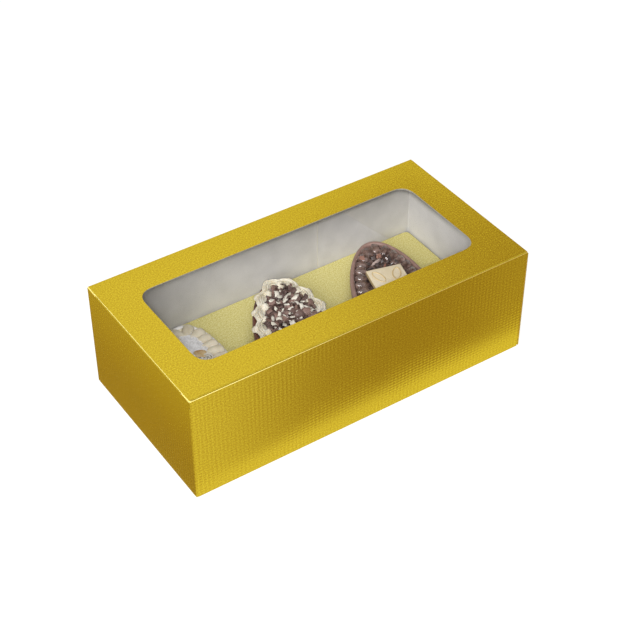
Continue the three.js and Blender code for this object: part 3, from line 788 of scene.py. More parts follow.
# Lid, film and tuck flap
def lid_board():
    """The lid: a window, the tuck's crease along the front and a shoulder beside each of its ends."""
    back_fold = high("lid_panel").y - FOLD
    panel = Panel(Vector((0, back_fold, HEIGHT - FOLD)), Z, FRONT)
    shoulder = back_fold - low("lid_panel").y
    reach = back_fold - (low("tuck_flap").y + FOLD + TUCK_CREASE_GAP)
    side = TUCK_HALF + TUCK_SHOULDER_GAP
    x, y = WINDOW_HALF
    near, far = back_fold - WINDOW_Y - y, back_fold - WINDOW_Y + y
    corners = [(-x, near), (x, near), (x, far), (-x, far)]
    window = rounded([(*corner, WINDOW_CORNER) for corner in corners])
    right = [(LID_HALF, shoulder), (side, shoulder), (side, reach)]
    top = right + [(-x, y) for x, y in reversed(right)]
    panel.put(
        "lid_panel", "lid", LID_HALF, top, "lid_board", holes=[window], creases=[(1, reach)], face=LID_FOIL,
        edge=PAINTED_GLINT_CORE, thickness=BOARD + FILM_GLUE,
    )


def tuck_board():
    fold = Vector((0, low("tuck_flap").y + FOLD, high("tuck_flap").z - FOLD))
    panel = Panel(fold, FRONT, DOWN, math.pi / 2 + TUCK_LEAN, TUCK_LEAN)
    reach = TUCK_LENGTH - FOLD
    top = [(TUCK_HALF, reach, TUCK_CORNER), (-TUCK_HALF, reach, TUCK_CORNER)]
    panel.put("tuck_flap", "tuck", TUCK_HALF, top, "tuck_board", face=LID_FOIL)


lid_board()
tuck_board()
dress("window_film", FILM)


# Egg form
BEAD = SHELL_WALL / 2
EGG_HALF = EGG_LENGTH / 2
EGG_SHOULDER = (math.sqrt(1 + 8 * EGG_POINT ** 2) - 1) / (4 * EGG_POINT)
EGG_SWELL = math.sqrt(1 - EGG_SHOULDER ** 2) * (1 + EGG_POINT * EGG_SHOULDER)
OUTLINE_STEPS = 240


def egg_radius(along, inset=0.0):
    share = max(-1, min(1, along / (EGG_HALF - inset)))
    return (EGG_WIDTH / 2 / EGG_SWELL - inset) * math.sqrt(1 - share ** 2) * (1 - EGG_POINT * share)


def egg_outline(angle, inset=0.0):
    along = (EGG_HALF - inset) * math.sin(angle)
    side = -1 if math.cos(angle) < 0 else 1
    return Vector((side * egg_radius(along, inset), along))


def turned(point, turn):
    c, s = math.cos(turn), math.sin(turn)
    return Vector((c * point.x - s * point.y, s * point.x + c * point.y))


class Walk:
    """The egg's outline, inset, walked by its own length."""

    def __init__(self, inset):
        count = 4 * OUTLINE_STEPS
        self.points = [egg_outline(2 * math.pi * i / count, inset) for i in range(count + 1)]
        self.runs = [0.0]
        for a, b in zip(self.points, self.points[1:]):
            self.runs.append(self.runs[-1] + (b - a).length)
        self.length = self.runs[-1]

    def at(self, share):
        """The point at a share of the way round, and the way inwards from it."""
        run = (share % 1) * self.length
        i = min(bisect.bisect_right(self.runs, run), len(self.runs) - 1)
        a, b = self.points[i - 1], self.points[i]
        along = (b - a).normalized()
        return a + along * (run - self.runs[i - 1]), Vector((-along.y, along.x))


class Egg:
    """One egg's place: its rim's middle plane and its axis, turned in plan."""

    def __init__(self, body, degrees):
        shell_low, shell_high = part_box(body + "_shell")
        self.turn = math.radians(degrees)
        steps = range(OUTLINE_STEPS)
        loop = [turned(egg_outline(2 * math.pi * i / OUTLINE_STEPS), self.turn) for i in steps]
        spread = [(min(p[k] for p in loop) + max(p[k] for p in loop)) / 2 for k in (0, 1)]
        middle = (shell_low + shell_high) / 2
        self.body = body
        self.centre = Vector((middle.x - spread[0], middle.y - spread[1], shell_high.z - BEAD))
        self.matrix = Matrix.Translation(self.centre) @ Matrix.Rotation(self.turn, 4, "Z")

    def piece(self, name, mesh, slot, *nodes):
        mesh.transform(self.matrix)
        piece(name, mesh, self.body, slot, *nodes)


left_egg, middle_egg, right_egg = Egg("left_egg", -20), Egg("middle_egg", -16.5), Egg("right_egg", -19.5)


# Cradle
SEAT_STEPS = 96
SEAT_ROWS = 400


def deck_board():
    """The deck, with a cut-out of each egg's own section at the deck's height."""
    holes = []
    for egg in (left_egg, middle_egg, right_egg):
        depth = egg.centre.z - DECK_TOP
        blunt, pointed = seat_ends(depth)
        seat = []
        for i in range(SEAT_STEPS):
            edge = seat_edge(2 * math.pi * i / SEAT_STEPS, depth, blunt, pointed)
            place = turned(edge, egg.turn) + egg.centre.xy
            seat.append(Vector((place.x, -place.y)))
        holes.append(seat)
    flat_board(
        "deck_board", "cradle_deck", "cradle", Z * DECK_TOP, Z, FRONT, (CRADLE_CORNER_GAP,), holes=holes,
        face=DECK_FOIL,
    )


def seat_ends(depth):
    """Where the egg's section at a depth below its rim begins and ends along its axis."""
    rows = [EGG_HALF * (i / SEAT_ROWS - 1) for i in range(2 * SEAT_ROWS + 1)]
    cut = [row for row in rows if egg_radius(row, -SEAT_CLEARANCE) >= depth]
    return cut[0], cut[-1]


def seat_edge(angle, depth, blunt, pointed):
    along = (pointed + blunt) / 2 + (pointed - blunt) / 2 * math.sin(angle)
    wide = math.sqrt(max(0, egg_radius(along, -SEAT_CLEARANCE) ** 2 - depth ** 2))
    return Vector((wide if math.cos(angle) >= 0 else -wide, along))


def cradle_leg_board(node, outward):
    endways = abs(outward.x) > 0
    away = CRADLE_HALF_LENGTH if endways else CRADLE_HALF_DEPTH
    half = (size(node).y if endways else size(node).x) / 2
    panel = Panel(outward * (away - FOLD) + Z * (DECK_TOP - FOLD), outward, DOWN)
    reach = DECK_TOP - FOLD - low(node).z
    panel.put(node, "cradle", half, [(half, reach), (-half, reach)], face=DECK_FOIL)


deck_board()
cradle_leg_board("cradle_front_leg", FRONT)
cradle_leg_board("cradle_back_leg", Y)
cradle_leg_board("cradle_left_leg", LEFT)
cradle_leg_board("cradle_right_leg", X)


# Growth: trees that repeat a shape along a path or over a bed
class Growth(Network):
    """A Geometry Nodes tree under construction, with named inputs."""

    def __init__(self, name, **inputs):
        super().__init__(bpy.data.node_groups.new(name, "GeometryNodeTree"))
        faces = self.tree.interface
        faces.new_socket("Geometry", in_out="INPUT", socket_type="NodeSocketGeometry")
        self.keys = {}
        for label, kind in inputs.items():
            made = faces.new_socket(label, in_out="INPUT", socket_type="NodeSocket" + kind)
            self.keys[label] = made.identifier
        faces.new_socket("Geometry", in_out="OUTPUT", socket_type="NodeSocketGeometry")
        self.input = self.node("NodeGroupInput").outputs

    def chance(self, least, most, salt):
        """A number between two, different at each place."""
        sockets = {"Min_001": least, "Max_001": most, "Seed": self.salted(salt)}
        made = self.node("FunctionNodeRandomValue", {"data_type": "FLOAT"}, sockets)
        return self.socket(made.outputs, "Value_001")

    def salted(self, salt):
        made = self.node("ShaderNodeMath", {"operation": "ADD"}, {0: self.input["Seed"], 1: float(salt)})
        return made.outputs[0]

    def finish(self, instances):
        real = self.node("GeometryNodeRealizeInstances", None, {"Geometry": instances})
        sockets = {"Geometry": real.outputs["Geometry"], "Material": self.input["Finish"]}
        dressed = self.node("GeometryNodeSetMaterial", None, sockets)
        self.node("NodeGroupOutput", None, {"Geometry": dressed.outputs["Geometry"]})

    def grow(self, name, base, **values):
        """The mesh that the tree makes on a base mesh."""
        host = bpy.data.objects.new(name, base)
        bpy.context.scene.collection.objects.link(host)
        modifier = host.modifiers.new("growth", "NODES")
        modifier.node_group = self.tree
        for label, value in values.items():
            modifier[self.keys[label]] = value
        host.update_tag()
        bpy.context.view_layer.update()
        graph = bpy.context.evaluated_depsgraph_get()
        mesh = bpy.data.meshes.new_from_object(host.evaluated_get(graph))
        mesh.name = name
        host.modifiers.clear()
        bpy.data.objects.remove(host)
        shade(mesh, 50)
        return mesh


def row_growth():
    """A shape repeated along a closed path, standing up, its X along the path."""
    tree = Growth(
        "row_along_a_path", Count="Int", Shape="Object", Lean="Float", Wander="Float", Seed="Int",
        Finish="Material",
    )
    path = tree.node("GeometryNodeMeshToCurve", None, {"Mesh": tree.input["Geometry"]})
    sockets = {"Curve": path.outputs["Curve"], "Count": tree.input["Count"]}
    spots = tree.node("GeometryNodeCurveToPoints", {"mode": "COUNT"}, sockets)
    turn = tree.node(
        "FunctionNodeAlignRotationToVector", {"axis": "X", "pivot_axis": "Z"},
        {"Vector": spots.outputs["Tangent"]},
    )
    shape = tree.node("GeometryNodeObjectInfo", None, {"Object": tree.input["Shape"]})
    sockets = {
        "Points": spots.outputs["Points"], "Instance": shape.outputs["Geometry"],
        "Rotation": turn.outputs["Rotation"], "Scale": tree.chance(0.93, 1.07, 3),
    }
    row = tree.node("GeometryNodeInstanceOnPoints", None, sockets)
    wander = tree.node("FunctionNodeRandomValue", {"data_type": "FLOAT"}, {"Seed": tree.salted(5)})
    spread = tree.node(
        "ShaderNodeMath", {"operation": "MULTIPLY_ADD"},
        {0: tree.socket(wander.outputs, "Value_001"), 1: tree.input["Wander"], 2: tree.input["Lean"]},
    )
    lean = tree.node("ShaderNodeCombineXYZ", None, {"Y": spread.outputs[0]})
    sockets = {"Instances": row.outputs["Instances"], "Rotation": lean.outputs["Vector"]}
    tilted = tree.node("GeometryNodeRotateInstances", None, sockets)
    tree.finish(tilted.outputs["Instances"])
    return tree


def scatter_growth():
    """Shapes strewn over a bed, a spacing apart, tumbled by up to a tilt."""
    tree = Growth(
        "strewn_over_a_bed", Shapes="Collection", Spacing="Float", Tilt="Float", Least="Float",
        Most="Float", Seed="Int", Finish="Material",
    )
    sockets = {
        "Mesh": tree.input["Geometry"], "Distance Min": tree.input["Spacing"], "Density Max": 1e6,
        "Seed": tree.input["Seed"],
    }
    spots = tree.node("GeometryNodeDistributePointsOnFaces", {"distribute_method": "POISSON"}, sockets)
    shapes = tree.node(
        "GeometryNodeCollectionInfo", None,
        {"Collection": tree.input["Shapes"], "Separate Children": True, "Reset Children": True},
    )
    back = tree.node("ShaderNodeMath", {"operation": "MULTIPLY"}, {0: tree.input["Tilt"], 1: -1.0})
    tumble = tree.node("ShaderNodeCombineXYZ", None, {
        "X": tree.chance(back.outputs[0], tree.input["Tilt"], 11),
        "Y": tree.chance(back.outputs[0], tree.input["Tilt"], 12),
        "Z": tree.chance(0.0, 2 * math.pi, 13),
    })
    sockets = {
        "Points": spots.outputs["Points"], "Instance": shapes.outputs["Instances"], "Pick Instance": True,
        "Rotation": tumble.outputs["Vector"],
        "Scale": tree.chance(tree.input["Least"], tree.input["Most"], 14),
    }
    strewn = tree.node("GeometryNodeInstanceOnPoints", None, sockets)
    tree.finish(strewn.outputs["Instances"])
    return tree


def rope_growth():
    """A ridged rope along a closed path, as a star nozzle pipes it."""
    tree = Growth(
        "ridged_rope", Ridges="Int", Radius="Float", Furrow="Float", Twist="Float", Seed="Int",
        Finish="Material",
    )
    path = tree.node("GeometryNodeMeshToCurve", None, {"Mesh": tree.input["Geometry"]})
    upright = tree.node(
        "GeometryNodeSetCurveNormal", None, {"Curve": path.outputs["Curve"]},
    )
    star = tree.node("GeometryNodeCurveStar", None, {
        "Points": tree.input["Ridges"], "Inner Radius": tree.input["Furrow"],
        "Outer Radius": tree.input["Radius"],
    })
    soft = tree.node("GeometryNodeSubdivideCurve", None, {"Curve": star.outputs["Curve"], "Cuts": 1})
    index = tree.node("GeometryNodeSplineParameter")
    tilt = tree.node(
        "ShaderNodeMath", {"operation": "MULTIPLY"},
        {0: index.outputs["Factor"], 1: tree.input["Twist"]},
    )
    sockets = {"Curve": upright.outputs["Curve"], "Tilt": tilt.outputs[0]}
    twisted = tree.node("GeometryNodeSetCurveTilt", None, sockets)
    sockets = {"Curve": twisted.outputs["Curve"], "Profile Curve": soft.outputs["Curve"]}
    rope = tree.node("GeometryNodeCurveToMesh", None, sockets)
    tree.finish(rope.outputs["Mesh"])
    return tree


ROW, STREWN, ROPE = row_growth(), scatter_growth(), rope_growth()


def loop_path(name, points):
    path = bpy.data.meshes.new(name)
    count = len(points)
    path.from_pydata([tuple(p) for p in points], [(i, (i + 1) % count) for i in range(count)], [])
    return path


def shape_of(mesh):
    return add(mesh.name, mesh)


def shape_group(name, *things):
    group = bpy.data.collections.new(name)
    bpy.context.scene.collection.children.link(group)
    for thing in things:
        bpy.context.scene.collection.objects.unlink(thing)
        group.objects.link(thing)
    return group


def put_away(*groups):
    for group in groups:
        for thing in list(group.objects):
            bpy.data.objects.remove(thing)
        bpy.data.collections.remove(group)


# Shells
SHELL_RINGS = 72
SHELL_SIDES = 40
BEAD_STEPS = 10


def shell_mesh(name, finish):
    """Half an egg: the outside, the rounded rim and the inside, ring by ring along its axis."""
    points = []
    for i in range(SHELL_RINGS + 1):
        angle = math.pi * (i / SHELL_RINGS - 0.5)
        loop = []
        for inset, order in ((0, 1), (SHELL_WALL, -1)):
            along = (EGG_HALF - inset) * math.sin(angle)
            radius = egg_radius(along, inset)
            bowl = [math.pi * k / SHELL_SIDES for k in range(SHELL_SIDES + 1)][::order]
            loop += [(radius * math.cos(t), along, -radius * math.sin(t)) for t in bowl]
            side = -1 if order > 0 else 1
            for k in range(1, BEAD_STEPS):
                t = math.pi * k / BEAD_STEPS
                share = (1 - math.cos(t)) / 2 if order > 0 else (1 + math.cos(t)) / 2
                deep = SHELL_WALL * share
                run = (EGG_HALF - deep) * math.sin(angle)
                loop.append((side * egg_radius(run, deep), run, BEAD * math.sin(t)))
        points += loop
    return mesh_of(name, points, quads(SHELL_RINGS + 1, len(loop)), [finish])


left_egg.piece("white_shell", shell_mesh("white_shell", WHITE_SHELL), "white_chocolate", "left_egg_shell")
middle_egg.piece("dark_shell", shell_mesh("dark_shell", DARK_SHELL), "dark_chocolate", "middle_egg_shell")
right_egg.piece("milk_shell", shell_mesh("milk_shell", MILK_SHELL), "milk_chocolate", "right_egg_shell")
dress("left_egg_filling", FILLING_CREAM)
dress("middle_egg_filling", FILLING_CREAM)
dress("right_egg_filling", DROPS)

SEAT = BEAD + TOPPING_GAP


# Beds: mounds over the egg's outline
def bed_mesh(name, finish, inset, edge, height, base, lump=0.0, grain=4 * MM, rings=26, steps=120):
    points, faces = [(0, 0, base + height)], []
    for r in range(1, rings + 1):
        share = r / rings
        for i in range(steps):
            rim = egg_outline(2 * math.pi * i / steps, inset)
            spot = Vector((rim.x * share, rim.y * share, 0))
            rise = edge + (height - edge) * (1 - share ** 2)
            rise += lump * noise.fractal(spot / grain, 0.8, 2.0, 3)
            points.append((spot.x, spot.y, base + max(rise, 0.2 * MM)))
    for i in range(steps):
        rim = egg_outline(2 * math.pi * i / steps, inset)
        points.append((rim.x, rim.y, base))
    points.append((0, 0, base))
    for i in range(steps):
        j = (i + 1) % steps
        faces.append((0, 1 + i, 1 + j))
        for r in range(rings):
            a, b = 1 + r * steps + i, 1 + r * steps + j
            faces.append((a, a + steps, b + steps, b))
        last = 1 + rings * steps
        faces.append((last + j, last + i, len(points) - 1))
    return mesh_of(name, points, faces, [finish])


# Left egg
PETALS = 30
PETAL_LENGTH = 11.6 * MM
PETAL_WIDTH = 7.7 * MM
PETAL_RISE = 2.7 * MM
PETAL_EDGE = 2.0 * MM
COCONUT_HEIGHT = 5 * MM
COCONUT_INSET = 11.2 * MM
BISCUIT_RADIUS, BISCUIT_THICKNESS, BISCUIT_WIDTH = 3.4 * MM, 1.3 * MM, 5 * MM
BISCUIT_PRESSED = (1.2, 1.2, 0.6)
BISCUIT_SPOT = Vector((4.6, 12.5, 0)) * MM
SCROLL_SPOT = Vector((8.7, 9.4, 0)) * MM


def petal_shape():
    """A flat tongue of cream, round at the rim and thinning inwards."""
    points = []
    rings, sides = 14, 20
    for i in range(rings + 1):
        t = math.pi * i / rings
        run = -math.cos(t) * PETAL_LENGTH / 2
        share = run / PETAL_LENGTH + 0.5
        wide = math.sin(t) ** 0.55 * PETAL_WIDTH / 2 * (0.6 + 0.4 * share)
        tall = math.sin(t) ** 0.6 * PETAL_RISE * (1.2 - 0.4 * share)
        for k in range(sides):
            turn = 2 * math.pi * k / sides
            lift = math.sin(turn)
            points.append((wide * math.cos(turn), run, tall * (lift ** 0.8 if lift > 0 else lift * 0.2)))
    return shape_of(mesh_of("petal_shape", points, quads(rings + 1, sides)))


def petals():
    shape = petal_shape()
    inset = PETAL_EDGE + PETAL_LENGTH / 2
    steps = 200
    loop = [(*egg_outline(-2 * math.pi * i / steps, inset), SEAT) for i in range(steps)]
    mesh = ROW.grow(
        "cream_petals", loop_path("petal_path", loop), Count=PETALS, Shape=shape,
        Lean=math.radians(11), Wander=math.radians(4), Seed=4, Finish=PETAL_CREAM,
    )
    bpy.data.objects.remove(shape)
    left_egg.piece("cream_petals", mesh, "cream", "left_egg_petal_ring")


def shred_shapes():
    """Short curved shreds, thin and narrow."""
    things = []
    for i, (length, bend) in enumerate(((3.0 * MM, 0.5), (2.2 * MM, -0.7), (3.8 * MM, 0.3))):
        points = []
        for k in range(4):
            run = (k / 3 - 0.5) * length
            rise = bend * (run / length) ** 2 * length
            wide = 0.32 * MM * (1 if k in (1, 2) else 0.6)
            points += [
                (run, -wide, rise), (run, wide, rise),
                (run, wide, rise + 0.22 * MM), (run, -wide, rise + 0.22 * MM),
            ]
        faces = quads(4, 4) + [(3, 2, 1, 0), (12, 13, 14, 15)]
        things.append(shape_of(mesh_of(f"shred_shape_{i}", points, faces)))
    return shape_group("shred_shapes", *things)


def coconut():
    bed = bed_mesh("coconut_bed", COCONUT, COCONUT_INSET, 1.8 * MM, COCONUT_HEIGHT, SEAT, 0.5 * MM, 3.2 * MM)
    shapes = shred_shapes()
    shreds = STREWN.grow(
        "coconut_shreds", bed.copy(), Shapes=shapes, Spacing=1.4 * MM, Tilt=0.4, Least=0.5, Most=0.9,
        Seed=8, Finish=COCONUT,
    )
    put_away(shapes)
    left_egg.piece("coconut_bed", bed, "coconut", "left_egg_coconut_bed")
    left_egg.piece("coconut_shreds", shreds, "coconut")


def curl_mesh(name, radius, thickness, width, sweep, steps, finish=None, spread=0.0):
    """A curled strip with rounded edges, its ends down and its axis along Y."""
    points = []
    section = 8
    for i in range(steps + 1):
        turn = math.pi / 2 + sweep * (i / steps - 0.5)
        grown = radius + spread * i / steps
        for k in range(section):
            t = 2 * math.pi * k / section
            flat = math.copysign(abs(math.cos(t)) ** 0.4, math.cos(t))
            thick = math.copysign(abs(math.sin(t)) ** 0.7, math.sin(t))
            r = grown - thickness / 2 + thick * thickness / 2
            points.append((r * math.cos(turn), flat * width / 2, r * math.sin(turn)))
    faces = quads(steps + 1, section)
    faces.append(tuple(range(section))[::-1])
    faces.append(tuple(steps * section + k for k in range(section)))
    return mesh_of(name, points, faces, [finish] if finish else [])


def biscuit():
    """A baked curl pressed into the coconut, and a white scroll beside it."""
    curl = curl_mesh(
        "biscuit_curl", BISCUIT_RADIUS, BISCUIT_THICKNESS, BISCUIT_WIDTH, math.pi * 0.98, 28, BISCUIT,
    )
    for vertex in curl.vertices:
        vertex.co += vertex.normal * (0.2 * MM * noise.fractal(vertex.co / (1.6 * MM), 0.9, 2.0, 3))
    seat = SEAT + COCONUT_HEIGHT - BISCUIT_RADIUS / 2
    pressed = Matrix.Diagonal((*BISCUIT_PRESSED, 1))
    curl.transform(Matrix.Translation(BISCUIT_SPOT + Z * seat) @ pressed)
    left_egg.piece("biscuit_curl", curl, "biscuit", "left_egg_biscuit_curl")
    scroll = curl_mesh(
        "white_scroll", 4.4 * MM, 1.3 * MM, 4.6 * MM, math.radians(900), 100, WHITE_SHAVINGS, -3.5 * MM,
    )
    upright = Matrix.Rotation(math.radians(106), 4, "X")
    scroll.transform(Matrix.Translation(SCROLL_SPOT + Z * (SEAT + 2.4 * MM)) @ upright)
    left_egg.piece("white_scroll", scroll, "white_chocolate")


petals()
coconut()
biscuit()


# Middle egg
LOOPS = 15
LOOP_REACH = 1.0 * MM
LOOP_SWING = 0.2
ROPE_RADIUS = 2.4 * MM
ROPE_INSET = 4.7 * MM
ROPE_TURNS = 1
OUTER_KNOB, OUTER_KNOB_INSET = 2.5 * MM, 1.9 * MM
INNER_KNOB, INNER_KNOB_INSET = 3.4 * MM, 7.8 * MM
SHAVINGS_INSET = 8.2 * MM
HEART_SETBACK = 4 * MM
CREAM_BASE_INSET, CREAM_BASE_HEIGHT = 3.2 * MM, 1.5 * MM


def piped_rope():
    """Cream piped in waves round the rim, on a thin spread of cream."""
    walk = Walk(ROPE_INSET)
    steps = 24 * LOOPS
    loop = []
    for i in range(steps):
        phase = 2 * math.pi * LOOPS * i / steps
        at, inward = walk.at(i / steps + LOOP_SWING / LOOPS * math.sin(phase) / math.pi)
        place = at - inward * (LOOP_REACH * math.cos(phase))
        lift = SEAT + ROPE_RADIUS * 0.5 + 0.5 * MM * (0.5 + 0.5 * math.sin(phase + 0.6))
        loop.append((*place, lift))
    mesh = ROPE.grow(
        "piped_rope", loop_path("rope_path", loop), Ridges=11, Radius=ROPE_RADIUS,
        Furrow=ROPE_RADIUS * 0.65, Twist=ROPE_TURNS * 2 * math.pi, Seed=1, Finish=PIPED_CREAM,
    )
    middle_egg.piece("piped_rope", mesh, "cream", "middle_egg_piped_ring")
    base = bed_mesh("cream_base", PIPED_CREAM, CREAM_BASE_INSET, CREAM_BASE_HEIGHT, CREAM_BASE_HEIGHT, SEAT)
    middle_egg.piece("cream_base", base, "cream")


def knob_shape(name, radius):
    """A small swirl of cream, its ridges wound up to a point."""
    points = []
    rings, sides, ridges = 8, 36, 7
    for i in range(rings):
        share = i / rings
        wide = radius * math.cos(share * math.pi / 2) ** 0.8
        for k in range(sides):
            turn = 2 * math.pi * k / sides
            reach = wide * (1 + 0.1 * math.cos(ridges * (turn + share * 1.3)))
            points.append((reach * math.cos(turn), reach * math.sin(turn), 1.25 * radius * share))
    points.append((0, 0, 1.25 * radius))
    faces = quads(rings, sides)
    last = (rings - 1) * sides
    faces += [(last + k, last + (k + 1) % sides, len(points) - 1) for k in range(sides)]
    faces.append(tuple(range(sides))[::-1])
    return shape_of(mesh_of(name, points, faces))


def knobs(name, radius, inset, shift):
    """Swirls at the rope's turns, one to a wave."""
    walk = Walk(inset)
    steps = 10 * LOOPS
    path = [(*walk.at((i / 10 + shift) / LOOPS)[0], SEAT + 0.6 * MM) for i in range(steps)]
    shape = knob_shape(name + "_shape", radius)
    mesh = ROW.grow(
        name, loop_path(name + "_path", path), Count=LOOPS, Shape=shape, Lean=math.radians(-8),
        Wander=math.radians(16), Seed=9, Finish=PIPED_CREAM,
    )
    bpy.data.objects.remove(shape)
    middle_egg.piece(name, mesh, "cream")


def flake_mesh(name, seed, length, width, thickness, bend=0.9):
    """A broken flake, bent and thinner at its rim."""
    chance = random.Random(seed)
    corners = 8
    rim = []
    for k in range(corners):
        turn = 2 * math.pi * (k + chance.uniform(-0.3, 0.3)) / corners
        reach = chance.uniform(0.55, 1.15)
        rim.append((length / 2 * reach * math.cos(turn), width / 2 * reach * math.sin(turn)))
    points = []
    for side in (-0.5, 0.5):
        for x, y in rim:
            taper = 1 - side * 0.3
            points.append((x * taper, y * taper, bend * x * x / length + side * thickness))
    faces = [tuple(range(corners))[::-1], tuple(range(corners, 2 * corners))]
    faces += quads(2, corners)
    return mesh_of(name, points, faces, sharp=25)


def flake_shape(name, *sizes):
    return shape_of(flake_mesh(name, *sizes))


def curl_shape(name, radius, width, sweep):
    return shape_of(curl_mesh(name, radius, 0.6 * MM, width, sweep, 9, None, 0.6 * MM))


def brown_shapes():
    return shape_group(
        "brown_shapes",
        flake_shape("brown_flake_a", 2, 6.8 * MM, 4.4 * MM, 1.6 * MM),
        flake_shape("brown_flake_b", 3, 5.0 * MM, 3.6 * MM, 2.4 * MM, 0.3),
        flake_shape("brown_flake_c", 7, 7.4 * MM, 2.6 * MM, 1.8 * MM),
        curl_shape("brown_curl", 3.4 * MM, 4.6 * MM, math.radians(95)),
    )


def white_shapes():
    return shape_group(
        "white_shapes",
        curl_shape("white_curl", 2.6 * MM, 2.8 * MM, math.radians(120)),
        flake_shape("white_chip_a", 5, 7.6 * MM, 2.8 * MM, 0.7 * MM, 0.3),
        flake_shape("white_chip_b", 9, 5.4 * MM, 3.8 * MM, 0.6 * MM, 0.3),
        flake_shape("white_chip_c", 12, 4.0 * MM, 2.0 * MM, 0.8 * MM, 0.2),
        flake_shape("white_splinter", 15, 6.0 * MM, 1.3 * MM, 0.7 * MM, 0.1),
    )


def shavings():
    bed = bed_mesh("shaving_bed", DARK_SHAVINGS, SHAVINGS_INSET, 1.6 * MM, 3.2 * MM, SEAT, 0.5 * MM)
    field = bed_mesh("shaving_field", DARK_SHAVINGS, SHAVINGS_INSET + 1.0 * MM, 1.9 * MM, 3.6 * MM, SEAT)
    heart = bed_mesh("shaving_heart", DARK_SHAVINGS, SHAVINGS_INSET + 3.4 * MM, 2.4 * MM, 3.6 * MM, SEAT)
    heart.transform(Matrix.Translation((0, -HEART_SETBACK, 0)))
    brown, white = brown_shapes(), white_shapes()
    layers = (
        ("dark_shavings", "dark_chocolate", brown, field, 3.4 * MM, 0.8, 21, DARK_SHAVINGS, 0.2 * MM),
        ("milk_shavings", "milk_chocolate", brown, field, 4.8 * MM, 0.7, 34, MILK_SHAVINGS, 0.9 * MM),
        ("white_shavings", "white_chocolate", white, heart, 3.7 * MM, 0.5, 35, WHITE_SHAVINGS, 1.7 * MM),
    )
    middle_egg.piece("shaving_bed", bed, "dark_chocolate", "middle_egg_shavings")
    for name, slot, shapes, ground, spacing, tilt, seed, finish, lift in layers:
        mesh = STREWN.grow(
            name, ground.copy(), Shapes=shapes, Spacing=spacing, Tilt=tilt, Least=0.6, Most=1.1, Seed=seed,
            Finish=finish,
        )
        mesh.transform(Matrix.Translation((0, 0, lift)))
        middle_egg.piece(name, mesh, slot)
    put_away(brown, white)
    bpy.data.meshes.remove(field)
    bpy.data.meshes.remove(heart)


piped_rope()
knobs("outer_knobs", OUTER_KNOB, OUTER_KNOB_INSET, 0.0)
knobs("inner_knobs", INNER_KNOB, INNER_KNOB_INSET, 0.5)
shavings()


# Right egg
DROP_BASE = -3 * MM
DROP_INSET = SHELL_WALL + TOPPING_GAP
RIM_DROPS = 29
RIM_DROP_INSET = 7.3 * MM
RIM_DROP = Vector((3.3, 4.6, 2.8)) * MM
LOOSE_DROP = Vector((2.7, 2.7, 2.2)) * MM


def drop_shape(name, seed, reach):
    """A rounded lump with soft dents."""
    work = bmesh.new()
    bmesh.ops.create_icosphere(work, subdivisions=2, radius=1)
    for vertex in work.verts:
        push = 1 + 0.45 * noise.noise(vertex.co * 1.6 + Vector((seed, 0, 0)))
        vertex.co = Vector([c * r * push for c, r in zip(vertex.co, reach)])
    mesh = bpy.data.meshes.new(name)
    work.to_mesh(mesh)
    work.free()
    return shape_of(mesh)


def clear_of_tile(mesh):
    """Takes out a bed's faces under the tile and close round it, so that its sides stay in sight."""
    back = Matrix.Rotation(-TILE_TURN, 4, "Z")

    def covered(face):
        spot = back @ (face.calc_center_median() - TILE_SPOT)
        return max(abs(spot.x), abs(spot.y)) < TILE_SIZE / 2 + TILE_ROOM

    work = bmesh.new()
    work.from_mesh(mesh)
    bmesh.ops.delete(work, geom=[f for f in work.faces if covered(f)], context="FACES")
    work.to_mesh(mesh)
    work.free()


def drops():
    """Lumps set in a row along the rim and strewn inside it, with flakes on them."""
    bed = bed_mesh("drop_bed", DROPS, DROP_INSET, 1.6 * MM, 2.0 * MM, DROP_BASE, 0.3 * MM)
    right_egg.piece("drop_bed", bed, "dark_chocolate", "right_egg_chocolate_drops")
    shape = drop_shape("rim_drop", 5, RIM_DROP)
    steps = 200
    middle = DROP_BASE + 3.0 * MM
    loop = [(*egg_outline(-2 * math.pi * i / steps, RIM_DROP_INSET), middle) for i in range(steps)]
    row = ROW.grow(
        "rim_drops", loop_path("rim_drop_path", loop), Count=RIM_DROPS, Shape=shape,
        Lean=math.radians(-20), Wander=math.radians(40), Seed=6, Finish=DROPS,
    )
    bpy.data.objects.remove(shape)
    right_egg.piece("rim_drops", row, "dark_chocolate")
    inner = bed_mesh("drop_field", DROPS, RIM_DROP_INSET + 4.5 * MM, 2.2 * MM, 2.6 * MM, DROP_BASE)
    clear_of_tile(inner)
    lumps = shape_group("drop_shapes", *(drop_shape(f"drop_{i}", 3 * i, LOOSE_DROP) for i in range(4)))
    flakes = brown_shapes()
    layers = (
        ("loose_drops", lumps, DROPS, 4.4 * MM, 0.6, 0.95, 3, 0.2 * MM),
        ("dark_flakes", flakes, DARK_FLAKES, 3.2 * MM, 0.8, 0.75, 5, 1.6 * MM),
    )
    for name, shapes, finish, spacing, tilt, most, seed, lift in layers:
        strewn = STREWN.grow(
            name, inner.copy(), Shapes=shapes, Spacing=spacing, Tilt=tilt, Least=most / 2, Most=most,
            Seed=seed, Finish=finish,
        )
        strewn.transform(Matrix.Translation((0, 0, lift)))
        right_egg.piece(name, strewn, "dark_chocolate")
    put_away(flakes, lumps)
    bpy.data.meshes.remove(inner)


CRUMBS = ((-0.1, 28.0, 10, 3.7), (-10.2, 28.6, -10, 3.4), (0.8, 17.4, 35, 3.0))
STICK = (-3.4, 21.9, 28, 8.4)


